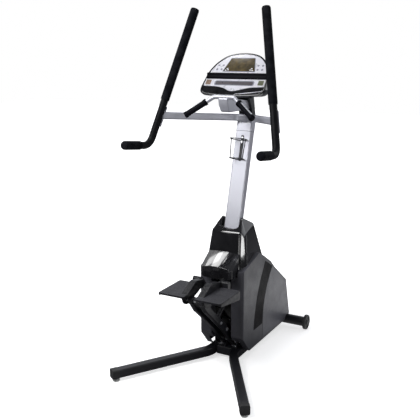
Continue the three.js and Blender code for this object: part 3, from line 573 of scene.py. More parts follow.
def sliced(bm, point, normal, close=True):
    """Cuts off what lies on the normal's side of a plane, and closes the cut."""
    cut = bmesh.ops.bisect_plane(bm, geom=list(bm.verts) + list(bm.edges) + list(bm.faces), dist=1e-5,
                                 plane_co=point, plane_no=normal, clear_outer=True, clear_inner=False)
    if close:
        rim = edges_of(cut["geom_cut"])
        if rim:
            bmesh.ops.contextual_create(bm, geom=rim)
            bmesh.ops.recalc_face_normals(bm, faces=bm.faces)
    return bm


def scored(bm, point, normal):
    """Adds edges where a plane passes, and removes nothing."""
    bmesh.ops.bisect_plane(bm, geom=list(bm.verts) + list(bm.edges) + list(bm.faces), dist=1e-5,
                           plane_co=point, plane_no=normal)
    return bm


def without(bm, test):
    """Removes the faces whose middles pass a test."""
    bmesh.ops.delete(bm, geom=[f for f in bm.faces if test(f.calc_center_median(), f)], context="FACES")
    return bm


def carved(bm, cutter):
    """Takes another shape out of a shape."""
    made = []
    for part in (bm, cutter):
        mesh = bpy.data.meshes.new("carving")
        part.to_mesh(mesh)
        part.free()
        obj = bpy.data.objects.new("carving", mesh)
        bpy.context.scene.collection.objects.link(obj)
        made.append(obj)
    cut = made[0].modifiers.new("Cut", "BOOLEAN")
    cut.operation = "DIFFERENCE"
    cut.solver = "EXACT"
    cut.object = made[1]
    bpy.context.view_layer.update()
    finished = made[0].evaluated_get(bpy.context.evaluated_depsgraph_get())
    result = bmesh.new()
    result.from_mesh(finished.to_mesh())
    finished.to_mesh_clear()
    for obj in made:
        mesh = obj.data
        bpy.data.objects.remove(obj)
        bpy.data.meshes.remove(mesh)
    return result


def other_side(bm):
    """The left piece of a right one."""
    bmesh.ops.scale(bm, vec=(-1, 1, 1), verts=bm.verts)
    bmesh.ops.reverse_faces(bm, faces=bm.faces)
    return bm


# ---- pieces ---------------------------------------------------------------------------------
def piece(name, bm, finish, body="frame", nodes=(), slot=None, wall=0.0, crease=38.0):
    """Makes an object of a shape in millimetres, and fixes it to a body of the machine."""
    bmesh.ops.scale(bm, vec=(MM, MM, MM), verts=bm.verts)
    for face in bm.faces:
        face.smooth = True
    for edge in bm.edges:
        edge.smooth = not (edge.is_manifold and edge.calc_face_angle(0.0) > math.radians(crease))
    mesh = bpy.data.meshes.new(name)
    bm.to_mesh(mesh)
    bm.free()
    mesh.materials.append(FINISH[finish])
    obj = bpy.data.objects.new(name, mesh)
    bpy.context.scene.collection.objects.link(obj)
    if wall:
        shell = obj.modifiers.new("Wall", "SOLIDIFY")
        shell.thickness = wall
        shell.offset = -1.0
        shell.use_even_offset = False
    shading = obj.modifiers.new("Shading", "WEIGHTED_NORMAL")
    shading.keep_sharp = True
    if body:
        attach(obj, body)
    if nodes:
        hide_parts(*nodes)
    return obj


def pair(name, make, finish, body="frame", nodes=(), slot=None, **more):
    """The same piece on both sides, made for the right and mirrored for the left."""
    made = []
    for side, sign in SIDES:
        bm = make() if sign > 0 else other_side(make())
        made.append(piece(f"{side}_{name}", bm, finish, body.format(side=side),
                          [node.format(side=side) for node in nodes], slot, **more))
    return made


def softened(name, finish, width=0.0012):
    """A CAD piece kept as it is, with its edges eased and a finish of its own."""
    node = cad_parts[name]
    for index in range(max(1, len(node.material_slots))):
        if node.material_slots:
            node.material_slots[index].material = FINISH[finish]
        else:
            node.data.materials.append(FINISH[finish])
    weld = node.modifiers.new("Weld", "WELD")
    weld.merge_threshold = 0.00002
    if width:
        ease = node.modifiers.new("Edges", "BEVEL")
        ease.width = width
        ease.segments = 2
        ease.limit_method = "ANGLE"
        ease.angle_limit = math.radians(40)
        ease.harden_normals = True


# ---- base -----------------------------------------------------------------------------------
class CLIMBER_OT_base_frame(bpy.types.Operator):
    """Builds the welded spine with the posts that carry the alternator and the springs."""

    bl_idname = "climber.base_frame"
    bl_label = "Base Frame"

    def execute(self, context):
        spine = rounded(block((-45.7, -54, 18), (45.7, 505, 64.6)), 4, 3)
        post = rounded(block((-30, 370, 63), (30, 430, 177)), 3, 2)
        hook = rounded(block((-13, 191, 63), (13, 204, 89)), 2, 2)
        piece("base_spine", joined(spine, post, hook), "powder_coat", nodes=["base_frame"],
              slot="frame_paint")
        gusset = slab([(-54, 66), (-14, 66), (-14, 76), (-30, 82)], -8, 8, SIDE_VIEW, 3)
        piece("hub_gusset", rounded(gusset, 1.5, 2), "powder_coat", slot="frame_paint")
        for side in ("right", "left"):
            softened(f"{side}_frame_plate", "powder_coat")
        return {"FINISHED"}


class CLIMBER_OT_legs(bpy.types.Operator):
    """Bends the two square rear legs, and caps their ends."""

    bl_idname = "climber.legs"
    bl_label = "Legs"

    def execute(self, context):
        size = sizes()
        route = bent(LEG_ROUTE, 110, 14)
        corner = size.leg_corner / MM
        pair("leg_tube", lambda: bar(route, 46.6, 46.6, corner, (0, 0, 1)), "powder_coat",
             nodes=["{side}_leg"], slot="frame_paint")
        end, before = route[-1], route[-2]
        out = (end - before).normalized()
        reach = size.leg_cap / MM

        def cap():
            sleeve = bar([end - out * reach, end + out * 1.6], 49, 49, corner + 1, (0, 0, 1))
            return rounded(sleeve, 1.6, 3, sharper=60)

        pair("leg_cap", cap, "black_rubber", slot="black_rubber")
        return {"FINISHED"}


class CLIMBER_OT_feet(bpy.types.Operator):
    """Turns the levelling feet: a pale pad, a collar and a threaded stem."""

    bl_idname = "climber.feet"
    bl_label = "Levelling Feet"

    def execute(self, context):
        for side, _ in SIDES:
            low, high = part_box(f"{side}_levelling_foot")
            place = Matrix.Translation(((low.x + high.x) / 2 / MM, (low.y + high.y) / 2 / MM, 0))
            pad = [(0, 0), (15, 0), (17.3, 0.8), (18, 2.4), (18, 6.4), (16.8, 8.2), (14, 9), (0, 9)]
            piece(f"{side}_foot_pad", turned(pad, place), "foot_plastic", f"{side}_foot",
                  [f"{side}_levelling_foot"], "foot_plastic")
            collar = [(0, 9.1), (12.4, 9.1), (13, 9.8), (13, 14.4), (12, 15.2), (5, 15.2), (5, 17)]
            thread = [(5 if i % 2 else 4.3, 17 + i * 0.8) for i in range(30)]
            piece(f"{side}_foot_stem", turned(collar + thread + [(0, 41)], place, 36), "steel",
                  f"{side}_foot", slot="steel")
        return {"FINISHED"}


class CLIMBER_OT_stabiliser(bpy.types.Operator):
    """Builds the round front foot tube and its two transport wheels."""

    bl_idname = "climber.stabiliser"
    bl_label = "Stabiliser and Wheels"

    def execute(self, context):
        along_x = Matrix.Translation((0, 536, 45)) @ Matrix.Rotation(math.pi / 2, 4, "Y")
        half = [(0, 268), (11, 268), (12.6, 266.4), (13, 264.6), (8, 264.4), (8, 243), (26, 243),
                (28.4, 242), (29, 239.5)]
        profile = half + [(r, -h) for r, h in reversed(half)]
        piece("stabiliser_tube", turned(profile, along_x, 56), "powder_coat", nodes=["front_stabiliser"],
              slot="frame_paint")
        rim = sizes().wheel_radius / MM
        tread = [(8.7, 245), (17, 245), (18.5, 246), (18.5, 249), (32, 249), (33.5, 246), (35, 245.2),
                 (rim - 4, 245.2), (rim - 1, 246.4), (rim, 249), (rim, 260), (rim - 1, 262.6),
                 (rim - 4, 263.8), (35, 263.8), (33.5, 263), (32, 259), (18.5, 259), (18.5, 262),
                 (17, 263), (8.7, 263), (8.7, 245)]
        pair("wheel_tyre", lambda: turned(tread, along_x, 56), "black_rubber", "{side}_wheel",
             ["{side}_transport_wheel"], "black_rubber")
        return {"FINISHED"}


class CLIMBER_OT_fittings(bpy.types.Operator):
    """Adds the bump stops on the hub and finishes the shafts and the mast's through bolt."""

    bl_idname = "climber.fittings"
    bl_label = "Fittings"

    def execute(self, context):
        disc = [(0, 3.2), (18, 3.0), (20, 2.2), (23, 2.2), (25.5, 3.4), (27, 2.6), (27.4, 0.1), (0, 0.1)]
        place = Matrix.Translation((43, 7, 64.9))
        pair("bump_stop", lambda: turned(disc, place), "contact_metal", slot="steel")
        for name in ("arm_shaft", "link_shaft", "mast_bolt"):
            softened(name, "steel", 0.001)
        return {"FINISHED"}


# ---- covers ---------------------------------------------------------------------------------
COVER_EDGE = [(-86, 150), (0, 50), (500, 48), (560, 60), (568, 74), (506, 308), (333, 434), (273, 487),
              (118, 580), (-86, 522)]
COVER_HALF = 130
COVER_OUTSIDE = COVER_HALF - 1
COVER_MOUTH = 60
COVER_NECK = 95
NECK_TOP = 487
NECK_FOOT = 116


def width_of(edge):
    """How far an edge runs along X."""
    return abs(edge.verts[0].co.x - edge.verts[1].co.x)


def cover_form():
    """A side cover's solid form, its outer edges rounded, with edges where its openings end."""
    size = sizes()
    bm = slab(COVER_EDGE, -20, COVER_HALF, SIDE_VIEW)
    rounded(bm, size.cover_corner / MM, 8, lambda m, e: m.x > COVER_OUTSIDE and m.y < -60)
    rounded(bm, size.cover_edge / MM, 5,
            lambda m, e: m.x > COVER_OUTSIDE and m.y > -60 and width_of(e) < 1, sharper=60)
    rounded(bm, 6, 3, lambda m, e: width_of(e) > 60 and m.y > 0, sharper=8)
    for x in (COVER_MOUTH, COVER_NECK):
        scored(bm, (x, 0, 0), (1, 0, 0))
    for z in (NECK_FOOT, NECK_TOP):
        scored(bm, (0, 0, z), (0, 0, 1))
    return sliced(bm, (0.35, 0, 0), (-1, 0, 0), close=False)


def cover_shell():
    """A side cover, open below, at the pedals' mouth and round the mast, its mouth turned in."""
    bm = cover_form()
    without(bm, lambda m, f: m.z < 62 and -1 < m.y < 558)
    without(bm, lambda m, f: m.x < COVER_MOUTH and (m.y < -60 or (m.y < 0 and m.z < 150)))
    without(bm, lambda m, f: m.x < COVER_NECK and m.y < 118 and (m.z > NECK_TOP or m.z < NECK_FOOT))
    lip = [e for e in bm.edges if e.is_boundary and all(abs(v.co.x - COVER_MOUTH) < 0.01 for v in e.verts)
           and (e.verts[0].co.y + e.verts[1].co.y) / 2 < 2 and max(v.co.z for v in e.verts) < NECK_TOP + 1]
    made = bmesh.ops.extrude_edge_only(bm, edges=lip)["geom"]
    bmesh.ops.translate(bm, vec=(-2.4, 5, 0), verts=verts_of(made))
    last = [e for e in edges_of(made) if set(verts_of(made)).issuperset(e.verts)]
    made = bmesh.ops.extrude_edge_only(bm, edges=last)["geom"]
    bmesh.ops.translate(bm, vec=(1.2, 44, 2), verts=verts_of(made))
    bmesh.ops.recalc_face_normals(bm, faces=bm.faces)
    if sum(f.normal.x * f.calc_area() for f in bm.faces if f.calc_center_median().x > COVER_OUTSIDE) < 0:
        bmesh.ops.reverse_faces(bm, faces=bm.faces)
    return bm


def band_route():
    """The band's rear edge and front edge, as [y, z] curves."""
    rear = interpolate_bezier(Vector((196, 511, 0)), Vector((112, 400, 0)), Vector((66, 300, 0)),
                              Vector((50, 150, 0)), 16)
    front = interpolate_bezier(Vector((166, 150, 0)), Vector((166, 270, 0)), Vector((210, 370, 0)),
                               Vector((292, 455, 0)), 16)
    return [(p.x, p.y) for p in rear], [(p.x, p.y) for p in front]


class CLIMBER_OT_side_covers(bpy.types.Operator):
    """Moulds the two side covers with their rounded uprights and turned-in mouths."""

    bl_idname = "climber.side_covers"
    bl_label = "Side Covers"

    def execute(self, context):
        pair("cover_shell", cover_shell, "cover_plastic", nodes=["{side}_side_cover"],
             slot="cover_plastic", wall=sizes().cover_wall)
        return {"FINISHED"}


class CLIMBER_OT_cover_bands(bpy.types.Operator):
    """Lays the dark curved band and the paler front panel on each side cover."""

    bl_idname = "climber.cover_bands"
    bl_label = "Cover Bands"

    def execute(self, context):
        face = COVER_HALF + 0.05
        rear, front = band_route()

        def band():
            return rounded(slab(rear + front, face, COVER_HALF + 0.7, SIDE_VIEW), 0.3, 2, sharper=60)

        def panel():
            edge = [(300, 449), (331, 421), (494, 302), (552, 84), (500, 66), (176, 66)]
            line = [(y + 3, z) for y, z in front[:-1]] + edge
            return rounded(slab(line, face, COVER_HALF + 1, SIDE_VIEW), 0.4, 2, sharper=60)

        pair("cover_band", band, "cover_band", slot="cover_plastic")
        pair("cover_panel", panel, "cover_panel", slot="cover_plastic")
        return {"FINISHED"}


# The shroud's outline, and the planes that cut its right side: a point and the normal's parts.
SHROUD_EDGE = [(-64, 529.6), (-28, 717), (42, 783), (133, 738), (229, 515), (118, 581)]
SHROUD_PLANES = (((119, -23, 540), (0.989, 0.086, 0.118)), ((97, -62, 540), (0.858, -0.487, 0.164)),
                 ((97, 0, 697), (0.913, 0, 0.407)))
SHROUD_FACE_HALF = 97
SHROUD_BULGE = 9
SEAM_Y = -16
SEAM_GAP = 0.5
SEAM_LEAN = 0.194


def shroud_block():
    """The shroud's solid form: leaning faces, bevels beside the user's face, sloped shoulders."""
    bm = slab(SHROUD_EDGE, -COVER_HALF, COVER_HALF, SIDE_VIEW)
    for sign in (1, -1):
        for (x, y, z), (across, ahead, up) in SHROUD_PLANES:
            sliced(bm, (sign * x, y, z), (sign * across, ahead, up))
    for x in range(-90, 91, 15):
        scored(bm, (x, 0, 0), (1, 0, 0))
    for v in bm.verts:
        if v.co.y < 0:
            v.co.y -= SHROUD_BULGE * (1 - (min(abs(v.co.x), SHROUD_FACE_HALF) / SHROUD_FACE_HALF) ** 2)
    rounded(bm, sizes().shroud_edge / MM, 6, lambda m, e: m.y < 20 and m.z > 540, sharper=12)
    rounded(bm, 7, 4, lambda m, e: m.z > 650, sharper=20)
    return rounded(bm, 5, 3, lambda m, e: m.y > 100, sharper=25)


def mast_dish():
    """What is taken out of the shroud's top round the mast, with a bowed rear rim."""
    rim = interpolate_bezier(Vector((-58, 6, 0)), Vector((-52, -27, 0)), Vector((52, -27, 0)),
                             Vector((58, 6, 0)), 16)
    place = Matrix.Translation((0, 0, 719.5)) @ Matrix.Rotation(0.33, 4, "X")
    return slab([(p.x, p.y) for p in rim] + [(52, 108), (-52, 108)], 0, 90, place)


def shroud_half(ahead):
    """One half of the shroud: dished round the mast, open below, parted at a leaning seam."""
    well = slab([(-46.5, 15), (46.5, 15), (46.5, 90), (-46.5, 90)], 610, 850)
    bm = carved(carved(shroud_block(), mast_dish()), well)
    rounded(bm, 1.6, 3, lambda m, e: m.y < 20 and m.z > 716 and abs(m.x) < 60, sharper=35)
    without(bm, lambda m, f: f.normal.z < -0.3 and m.z < 600 or (abs(m.x) < 47 and m.z < 620 and m.y > 0))
    sign = -1 if ahead else 1
    seam = SEAM_Y + (SEAM_GAP if ahead else 0)
    return sliced(bm, (0, seam, 530), (0, sign, -sign * SEAM_LEAN), close=False)


class CLIMBER_OT_upper_shroud(bpy.types.Operator):
    """Moulds the two halves of the gloss shroud round the mast's foot."""

    bl_idname = "climber.upper_shroud"
    bl_label = "Upper Shroud"

    def execute(self, context):
        for name, node, ahead in (("shroud_rear_shell", "shroud_user_half", False),
                                  ("shroud_front_shell", "shroud_front_half", True)):
            piece(name, shroud_half(ahead), "gloss_black", nodes=[node], slot="gloss_black",
                  wall=sizes().cover_wall)
        return {"FINISHED"}


class CLIMBER_OT_visor(bpy.types.Operator):
    """Moulds the rounded visor over the pedals' slot."""

    bl_idname = "climber.visor"
    bl_label = "Visor"

    def execute(self, context):
        half, front, rise, arch, lift = 92, -147, 0.66, 13, 14
        bm = slab([(front, 488), (front, 555), (-50, 555 + rise * (-50 - front)), (-66, 531), (-66, 488)],
                  -half, half, SIDE_VIEW)
        for x in range(-84, 85, 12):
            scored(bm, (x, 0, 0), (1, 0, 0))
        for v in bm.verts:
            across = (v.co.x / half) ** 2
            if v.co.z > 540:
                v.co.z -= arch * across
            elif v.co.y < -100:
                v.co.z += lift * across ** 3
        rounded(bm, 12, 6, lambda m, e: m.y < front + 7 and abs(e.verts[0].co.z - e.verts[1].co.z) > 20,
                sharper=40)
        rounded(bm, sizes().visor_edge / MM, 4, lambda m, e: m.z > 535 and m.y < -67, sharper=25)
        without(bm, lambda m, f: f.normal.z < -0.7 or f.normal.y > 0.7)
        piece("visor_shell", bm, "gloss_black", nodes=["visor"], slot="gloss_black",
              wall=sizes().cover_wall)
        return {"FINISHED"}


# ---- mast and handles -----------------------------------------------------------------------
def runs_up_mast(middle, edge):
    """Whether an edge runs along the mast."""
    along = MAST_PLACE.to_3x3() @ Vector((0, 0, 1))
    return abs(along.dot((edge.verts[0].co - edge.verts[1].co).normalized())) > 0.9


class CLIMBER_OT_mast(bpy.types.Operator):
    """Builds the leaning mast with its separate head."""

    bl_idname = "climber.mast"
    bl_label = "Mast"

    def execute(self, context):
        corner = sizes().mast_corner / MM
        tube = rounded(block((-45, 0, -190), (45, 45, 512), MAST_PLACE), corner, 5, runs_up_mast)
        piece("mast_tube", tube, "silver_paint", nodes=["mast"], slot="silver_paint")
        head = block((-45.6, -0.6, 513.2), (45.6, 45.6, 604), MAST_PLACE)
        rounded(head, corner, 5, runs_up_mast)
        piece("mast_head", rounded(head, 1.2, 2, sharper=50), "silver_paint", slot="silver_paint")
        screw = turned([(0, 2.6), (4.6, 2.2), (5.6, 1.0), (5.8, 0), (0, 0)], steps=24)
        for i, (x, z) in enumerate(((-22, 560), (22, 560))):
            place = MAST_PLACE @ standing((x, -0.6, z), (0, -1, 0), (0, 0, 1))
            piece(f"mast_screw_{i + 1}", moved(screw.copy(), place), "steel", slot="steel")
        screw.free()
        return {"FINISHED"}


POLE_UP = (POLE_TOP - POLE_BEND).normalized()
POLE_FRONT = (Vector((0, 1, 0)) - POLE_UP * POLE_UP.y).normalized()


def pole_at(height):
    return POLE_BEND + POLE_UP * ((height - POLE_BEND.z) / POLE_UP.z)


class CLIMBER_OT_handle_poles(bpy.types.Operator):
    """Bends the two tall handle poles."""

    bl_idname = "climber.handle_poles"
    bl_label = "Handle Poles"

    def execute(self, context):
        out = (POLE_END - POLE_BEND).normalized()
        route = bent([POLE_TOP - POLE_UP * 4, POLE_BEND, POLE_END - out * 4], 62, 16)
        radius = sizes().pole_radius / MM
        pair("pole_tube", lambda: pipe(route, radius, (1, 0, 0), 36), "pole_black",
             nodes=["{side}_handle_pole"], slot="frame_paint")
        return {"FINISHED"}


def sleeve(start, end, radius, bore, nose):
    """A tube open at its start and closed, with a rounded nose, at its end."""
    reach = (end - start).length
    profile = [(bore, 0.6), (radius - 1.4, 0), (radius - 0.3, 0.6), (radius, 2.4)]
    count = max(2, int(reach / 30))
    profile += [(radius, 2.4 + (reach - nose - 2.4) * i / count) for i in range(1, count + 1)]
    profile += [(radius - nose * (1 - math.cos(a)), reach - nose + nose * math.sin(a))
                for a in (math.radians(d) for d in range(15, 91, 15))]
    profile += [(0, reach), (0, reach - 3), (bore, reach - 3), (bore, 0.6)]
    return turned(profile, standing(start, end - start, (1, 0, 0)), 48)


class CLIMBER_OT_foam_grips(bpy.types.Operator):
    """Turns the long foam grips on the poles' tops and the short ones on their lower ends."""

    bl_idname = "climber.foam_grips"
    bl_label = "Foam Grips"

    def execute(self, context):
        radius = sizes().grip_radius / MM
        out = (POLE_END - POLE_BEND).normalized()
        grips = pair("foam_upper", lambda: sleeve(pole_at(POLE_GRIP_HEIGHT), POLE_TOP, radius, 19.5, 12),
                     "foam", nodes=["{side}_upper_grip"], slot="foam_grip")
        grips += pair("foam_lower", lambda: sleeve(POLE_BEND + out * 86, POLE_END, radius, 19.5, 12),
                      "foam", nodes=["{side}_lower_grip"], slot="foam_grip")
        return {"FINISHED"}


class CLIMBER_OT_crossbar(bpy.types.Operator):
    """Bends the silver crossbar, with a saddle and two bolts on each pole."""

    bl_idname = "climber.crossbar"
    bl_label = "Crossbar"

    def execute(self, context):
        clamp = pole_at(POLE_CLAMP_HEIGHT)
        corner = CROSSBAR_CORNER
        inward = (corner - clamp).normalized()
        tip = clamp + inward * 13
        route = bent([tip * MIRROR, corner * MIRROR, corner, tip], 60, 12)
        piece("crossbar_tube", bar(route, 24, 38, 9, (0, 0, 1), 5), "silver_paint", nodes=["crossbar"],
              slot="silver_paint")
        side = POLE_FRONT.cross(POLE_UP)
        place = Matrix.Translation(clamp) @ Matrix((side, POLE_FRONT, POLE_UP)).transposed().to_4x4()

        def saddle():
            wrap = [(-17, 25.6), (-19.5, 12), (-19.5, 7), (-16, 12.5), (-8, 19.2), (0, 20.6), (8, 19.2),
                    (16, 12.5), (19.5, 7), (19.5, 12), (17, 25.6)]
            plate = slab(wrap, -54, 54, place, [4, 4, 0.8, 0, 0, 0, 0, 0, 0.8, 4, 4], 3)
            return rounded(plate, 1.2, 2, sharper=60)

        pair("pole_saddle", saddle, "silver_paint", slot="silver_paint")

        def bolts():
            head = [(0, 11), (6, 11), (8.4, 10), (9, 8), (9, 2), (11, 1.6), (11, 0), (0, 0)]
            return joined(*(turned(head, place @ standing((0, 25.8, z), (0, 1, 0), (0, 0, 1)), 30)
                            for z in (38, -38)))

        pair("clamp_bolts", bolts, "black_rubber", slot="black_rubber")
        return {"FINISHED"}


class CLIMBER_OT_pulse_bar(bpy.types.Operator):
    """Bends the pulse bar and its beam, and fits the grips with contact strips and end caps."""

    bl_idname = "climber.pulse_bar"
    bl_label = "Pulse Bar"

    def execute(self, context):
        out = (PULSE_OUTER - PULSE_INNER).normalized()
        knee = PULSE_INNER - out * 45
        tip = PULSE_OUTER - out * 5
        tube = pipe(bent([tip * MIRROR, knee * MIRROR, knee, tip], 30, 10), 11, (0, 1, 0), 28)
        beam = slab([(-71, 1391), (-74, 1419), (-53, 1422), (177, 1392), (187, 1346), (-47, 1346)], -26, 26,
                    SIDE_VIEW, [10, 6, 10, 8, 6, 14], 4)
        piece("pulse_tube", joined(tube, rounded(beam, 3.5, 3, sharper=50)), "silver_paint",
              nodes=["pulse_bar"], slot="silver_paint")
        reach = (PULSE_OUTER - PULSE_INNER).length
        place = standing(PULSE_INNER, out, (0, 0, 1))

        def grip():
            cap = 15.0
            profile = [(11.3, 0), (15.6, 0), (17, 1.2), (17, cap - 2), (16.4, cap), (15, cap + 0.6),
                       (15, reach - cap - 0.6), (16.4, reach - cap), (17, reach - cap + 2), (17, reach - 5),
                       (15.6, reach - 1.5), (12.5, reach), (0, reach), (0, reach - 3), (11.3, reach - 3),
                       (11.3, 0)]
            return turned(profile, place, 40)

        pair("pulse_sleeve", grip, "dark_trim", nodes=["{side}_pulse_grip"], slot="foam_grip")

        def strips():
            parts = []
            for start in (68, 248):
                bm = bmesh.new()
                rim = [bm.verts.new((r, 0, h)) for r, h in ((14.8, 19), (15.9, 19), (15.9, reach - 19),
                                                            (14.8, reach - 19))]
                bmesh.ops.contextual_create(bm, geom=rim)
                bmesh.ops.rotate(bm, matrix=Matrix.Rotation(math.radians(start), 3, "Z"), verts=bm.verts)
                bmesh.ops.spin(bm, geom=list(bm.verts) + list(bm.edges) + list(bm.faces), cent=(0, 0, 0),
                               axis=(0, 0, 1), angle=math.radians(44), steps=8, use_duplicate=False)
                bmesh.ops.recalc_face_normals(bm, faces=bm.faces)
                parts.append(moved(rounded(bm, 0.35, 2, sharper=60), place))
            return joined(*parts)

        pair("pulse_contacts", strips, "contact_metal", slot="steel")
        return {"FINISHED"}


class CLIMBER_OT_bottle_cage(bpy.types.Operator):
    """Builds the wire bottle cage and its strap on the mast."""

    bl_idname = "climber.bottle_cage"
    bl_label = "Bottle Cage"

    def execute(self, context):
        place = MAST_PLACE @ Matrix.Translation((0, 0, 420))
        hang = place @ Matrix(((1, 0, 0, 0), (0, 0, -1, 0), (0, 1, 0, 0), (0, 0, 0, 1)))
        strap = slab([(-8, -70), (8, -70), (8, 70), (-8, 70)], 0.4, 4.4, hang, 5, 4)
        rounded(strap, 1, 2, sharper=60)
        high, low, wire = 42, -62, 2.6
        hoop = bent([(6, -3, high), (42, -16, high), (42, -78, high), (-42, -78, high), (-42, -16, high),
                     (-6, -3, high)], 20, 8)
        cradle = bent([(6, -3, low), (36, -12, low), (36, -70, low), (-36, -70, low), (-36, -12, low),
                       (-6, -3, low)], 20, 8)
        parts = [pipe(route, wire, (0, 0, 1), 12) for route in (hoop, cradle)]
        parts += [pipe([Vector((sign * 42, -50, high)), Vector((sign * 36, -48, low))], wire, (0, 1, 0), 12)
                  for _, sign in SIDES]
        wires = [moved(part, place) for part in parts]
        piece("cage_wires", joined(strap, *wires), "powder_coat", nodes=["bottle_cage"], slot="frame_paint")
        holes = [slab([(-4, -7), (4, -7), (4, 7), (-4, 7)], 4.45, 5.0,
                      hang @ Matrix.Translation((0, z, 0)), 3.8, 5) for z in (34, 55)]
        piece("cage_slots", joined(*holes), "contact_metal", slot="steel")
        return {"FINISHED"}


# ---- console --------------------------------------------------------------------------------
def dome(inset):
    """Half the console's front outline after another, as [x, s] in its own plane."""
    wide = CASE_HALF - inset
    curves = [((-150, -25 + inset), (-75, -34 + inset), (75, -34 + inset), (150, -25 + inset)),
              ((150, -25 + inset), (176 - inset * 0.6, -17 + inset), (wide, -4), (wide, 24)),
              ((176 - inset, 110), (166 - inset, 160), (132 - inset, 214 - inset), (88, 236 - inset)),
              ((88, 236 - inset), (34, 258 - inset), (-34, 258 - inset), (-88, 236 - inset)),
              ((-88, 236 - inset), (-132 + inset, 214 - inset), (-166 + inset, 160), (-176 + inset, 110)),
              ((-wide, 24), (-wide, -4), (-176 + inset * 0.6, -17 + inset), (-150, -25 + inset))]
    points = []
    for a, b, c, d in curves:
        run = interpolate_bezier(Vector((*a, 0)), Vector((*b, 0)), Vector((*c, 0)), Vector((*d, 0)), 15)
        for p in run:
            if not points or (Vector(points[-1]) - p.xy).length > 0.5:
                points.append((p.x, p.y))
    if (Vector(points[0]) - Vector(points[-1])).length < 0.5:
        points.pop()
    return points


CASE_LOW, CASE_HIGH, CASE_HALF = -32, 254, 184
# The rim: how deep each ring lies behind the front, and how far in.
CASE_RIM = [(3.4, 8.6), (0.2, 8.6), (-1.2, 7.0), (-1.9, 4.4), (-1.2, 1.6), (1.4, 0.0)]
# The back: each ring's depth, lower end, upper end and half width.
CASE_BACK = [(14, -28, 253, 184), (32, -12, 250, 181), (52, 4, 243, 176), (74, 22, 226, 168),
             (94, 38, 206, 157), (112, 54, 186, 142), (127, 70, 165, 122), (138, 88, 146, 96),
             (143.5, 104, 128, 60)]


def case_places():
    """Where the console's outline is carried, ring by ring, from its front edge to its back."""
    rings = [(depth, CASE_LOW + inset, CASE_HIGH - inset, CASE_HALF - inset) for depth, inset in CASE_RIM]
    places = []
    for depth, low, high, half in rings + CASE_BACK:
        grow = (high - low) / (CASE_HIGH - CASE_LOW)
        places.append(CONSOLE_PLACE @ Matrix.Translation((0, low - CASE_LOW * grow, -depth))
                      @ Matrix.Diagonal((half / CASE_HALF, grow, 1, 1)))
    return places


class CLIMBER_OT_console_case(bpy.types.Operator):
    """Draws the console's rounded case back from its rim, and builds the neck under it."""

    bl_idname = "climber.console_case"
    bl_label = "Console Case"

    def execute(self, context):
        case = carried(hollow(outline(dome(0))), case_places())
        piece("console_case", case, "gloss_black", nodes=["console_back_shell"], slot="gloss_black",
              crease=50)
        low_y, low_z = (MAST_PLACE @ Vector((0, 0, 605.3))).yz
        back_y, back_z = (MAST_PLACE @ Vector((0, 45, 605.3))).yz
        neck = slab([(low_y, low_z), (back_y, back_z), (226, 1345), (212, 1403), (201, 1436), (152, 1411.5),
                     (176, 1400), (190, 1340)], -40, 40, SIDE_VIEW, [2, 2, 8, 8, 4, 4, 8, 8], 4)
        piece("console_neck", rounded(neck, 3, 3, sharper=60), "powder_coat", nodes=["console_bracket"],
              slot="frame_paint")
        return {"FINISHED"}


def on_console(points, low, high, corners, steps, edge):
    """A flat piece on the console's front, its edges eased."""
    return rounded(slab(points, low, high, CONSOLE_PLACE, corners, steps), edge, 2, sharper=60)


def rectangle(x, s, wide, tall):
    """A rectangle's corners round its middle."""
    return [(x - wide / 2, s - tall / 2), (x + wide / 2, s - tall / 2), (x + wide / 2, s + tall / 2),
            (x - wide / 2, s + tall / 2)]


class CLIMBER_OT_console_panels(bpy.types.Operator):
    """Lays the silver panels and the dark slot on the console's front, and a silver strip low on its right as
    a painted highlight of the lower lip's bevel.
    """

    bl_idname = "climber.console_panels"
    bl_label = "Console Panels"

    def execute(self, context):
        up = CONSOLE_PLACE.to_3x3() @ Vector((0, 1, 0))
        upper = slab(dome(9.5), -3.2, -0.2, CONSOLE_PLACE)
        sliced(upper, CONSOLE_PLACE @ Vector((0, 104, 0)), -up)
        piece("console_upper_panel", rounded(upper, 0.8, 2, sharper=60), "console_silver",
              nodes=["console_face", "keypad_overlay"], slot="console_silver")
        lip = [(-172, 31), (-95, 29), (-52, 22), (-22, 4), (0, -1), (30, 4), (70, 20), (110, 27), (172, 31),
               (172, 77), (-172, 77)]
        lower = on_console(lip, -3.2, -0.2, [5, 30, 24, 18, 14, 20, 30, 30, 5, 2, 2], 6, 0.8)
        piece("console_lower_panel", lower, "console_silver", slot="console_silver")
        rim = on_console(rectangle(0, 51, 226, 31), -0.3, 0.5, 10, 8, 0.3)
        piece("console_slot_rim", rim, "key_print", slot="console_silver")
        slot = on_console(rectangle(0, 50.5, 214, 22), 0.3, 0.8, 8, 8, 0.2)
        piece("console_slot", slot, "slot_print", slot="gloss_black")
        # A silver strip on the black case below the right of the lower panel: a painted highlight of the
        # lower lip's bevel.
        painted_highlight = on_console([(18, -20), (60, -15), (110, -8), (172, 4), (172, 7.5), (110, -3.5), (60, -10.5),
                             (24, -16)], -3.3, -1.6, 0, 2, 0.3)
        piece("console_painted_highlight", painted_highlight, "console_silver", slot="console_silver")
        return {"FINISHED"}


class CLIMBER_OT_display(bpy.types.Operator):
    """Fits the display glass in its dark surround."""

    bl_idname = "climber.display"
    bl_label = "Display"

    def execute(self, context):
        outer = [(-95, 125), (95, 125), (69.5, 219), (-69.5, 219)]
        inner = [(-91, 129), (91, 129), (67, 216), (-67, 216)]
        surround = on_console(outer, -0.4, 0.5, 5, 5, 0.3)
        piece("display_surround", surround, "key_print", slot="gloss_black")
        glass = on_console(inner, 0.3, 1.0, 4, 5, 0.3)
        piece("display_glass", glass, "display_glass", nodes=["display_lens"], slot="display")
        return {"FINISHED"}


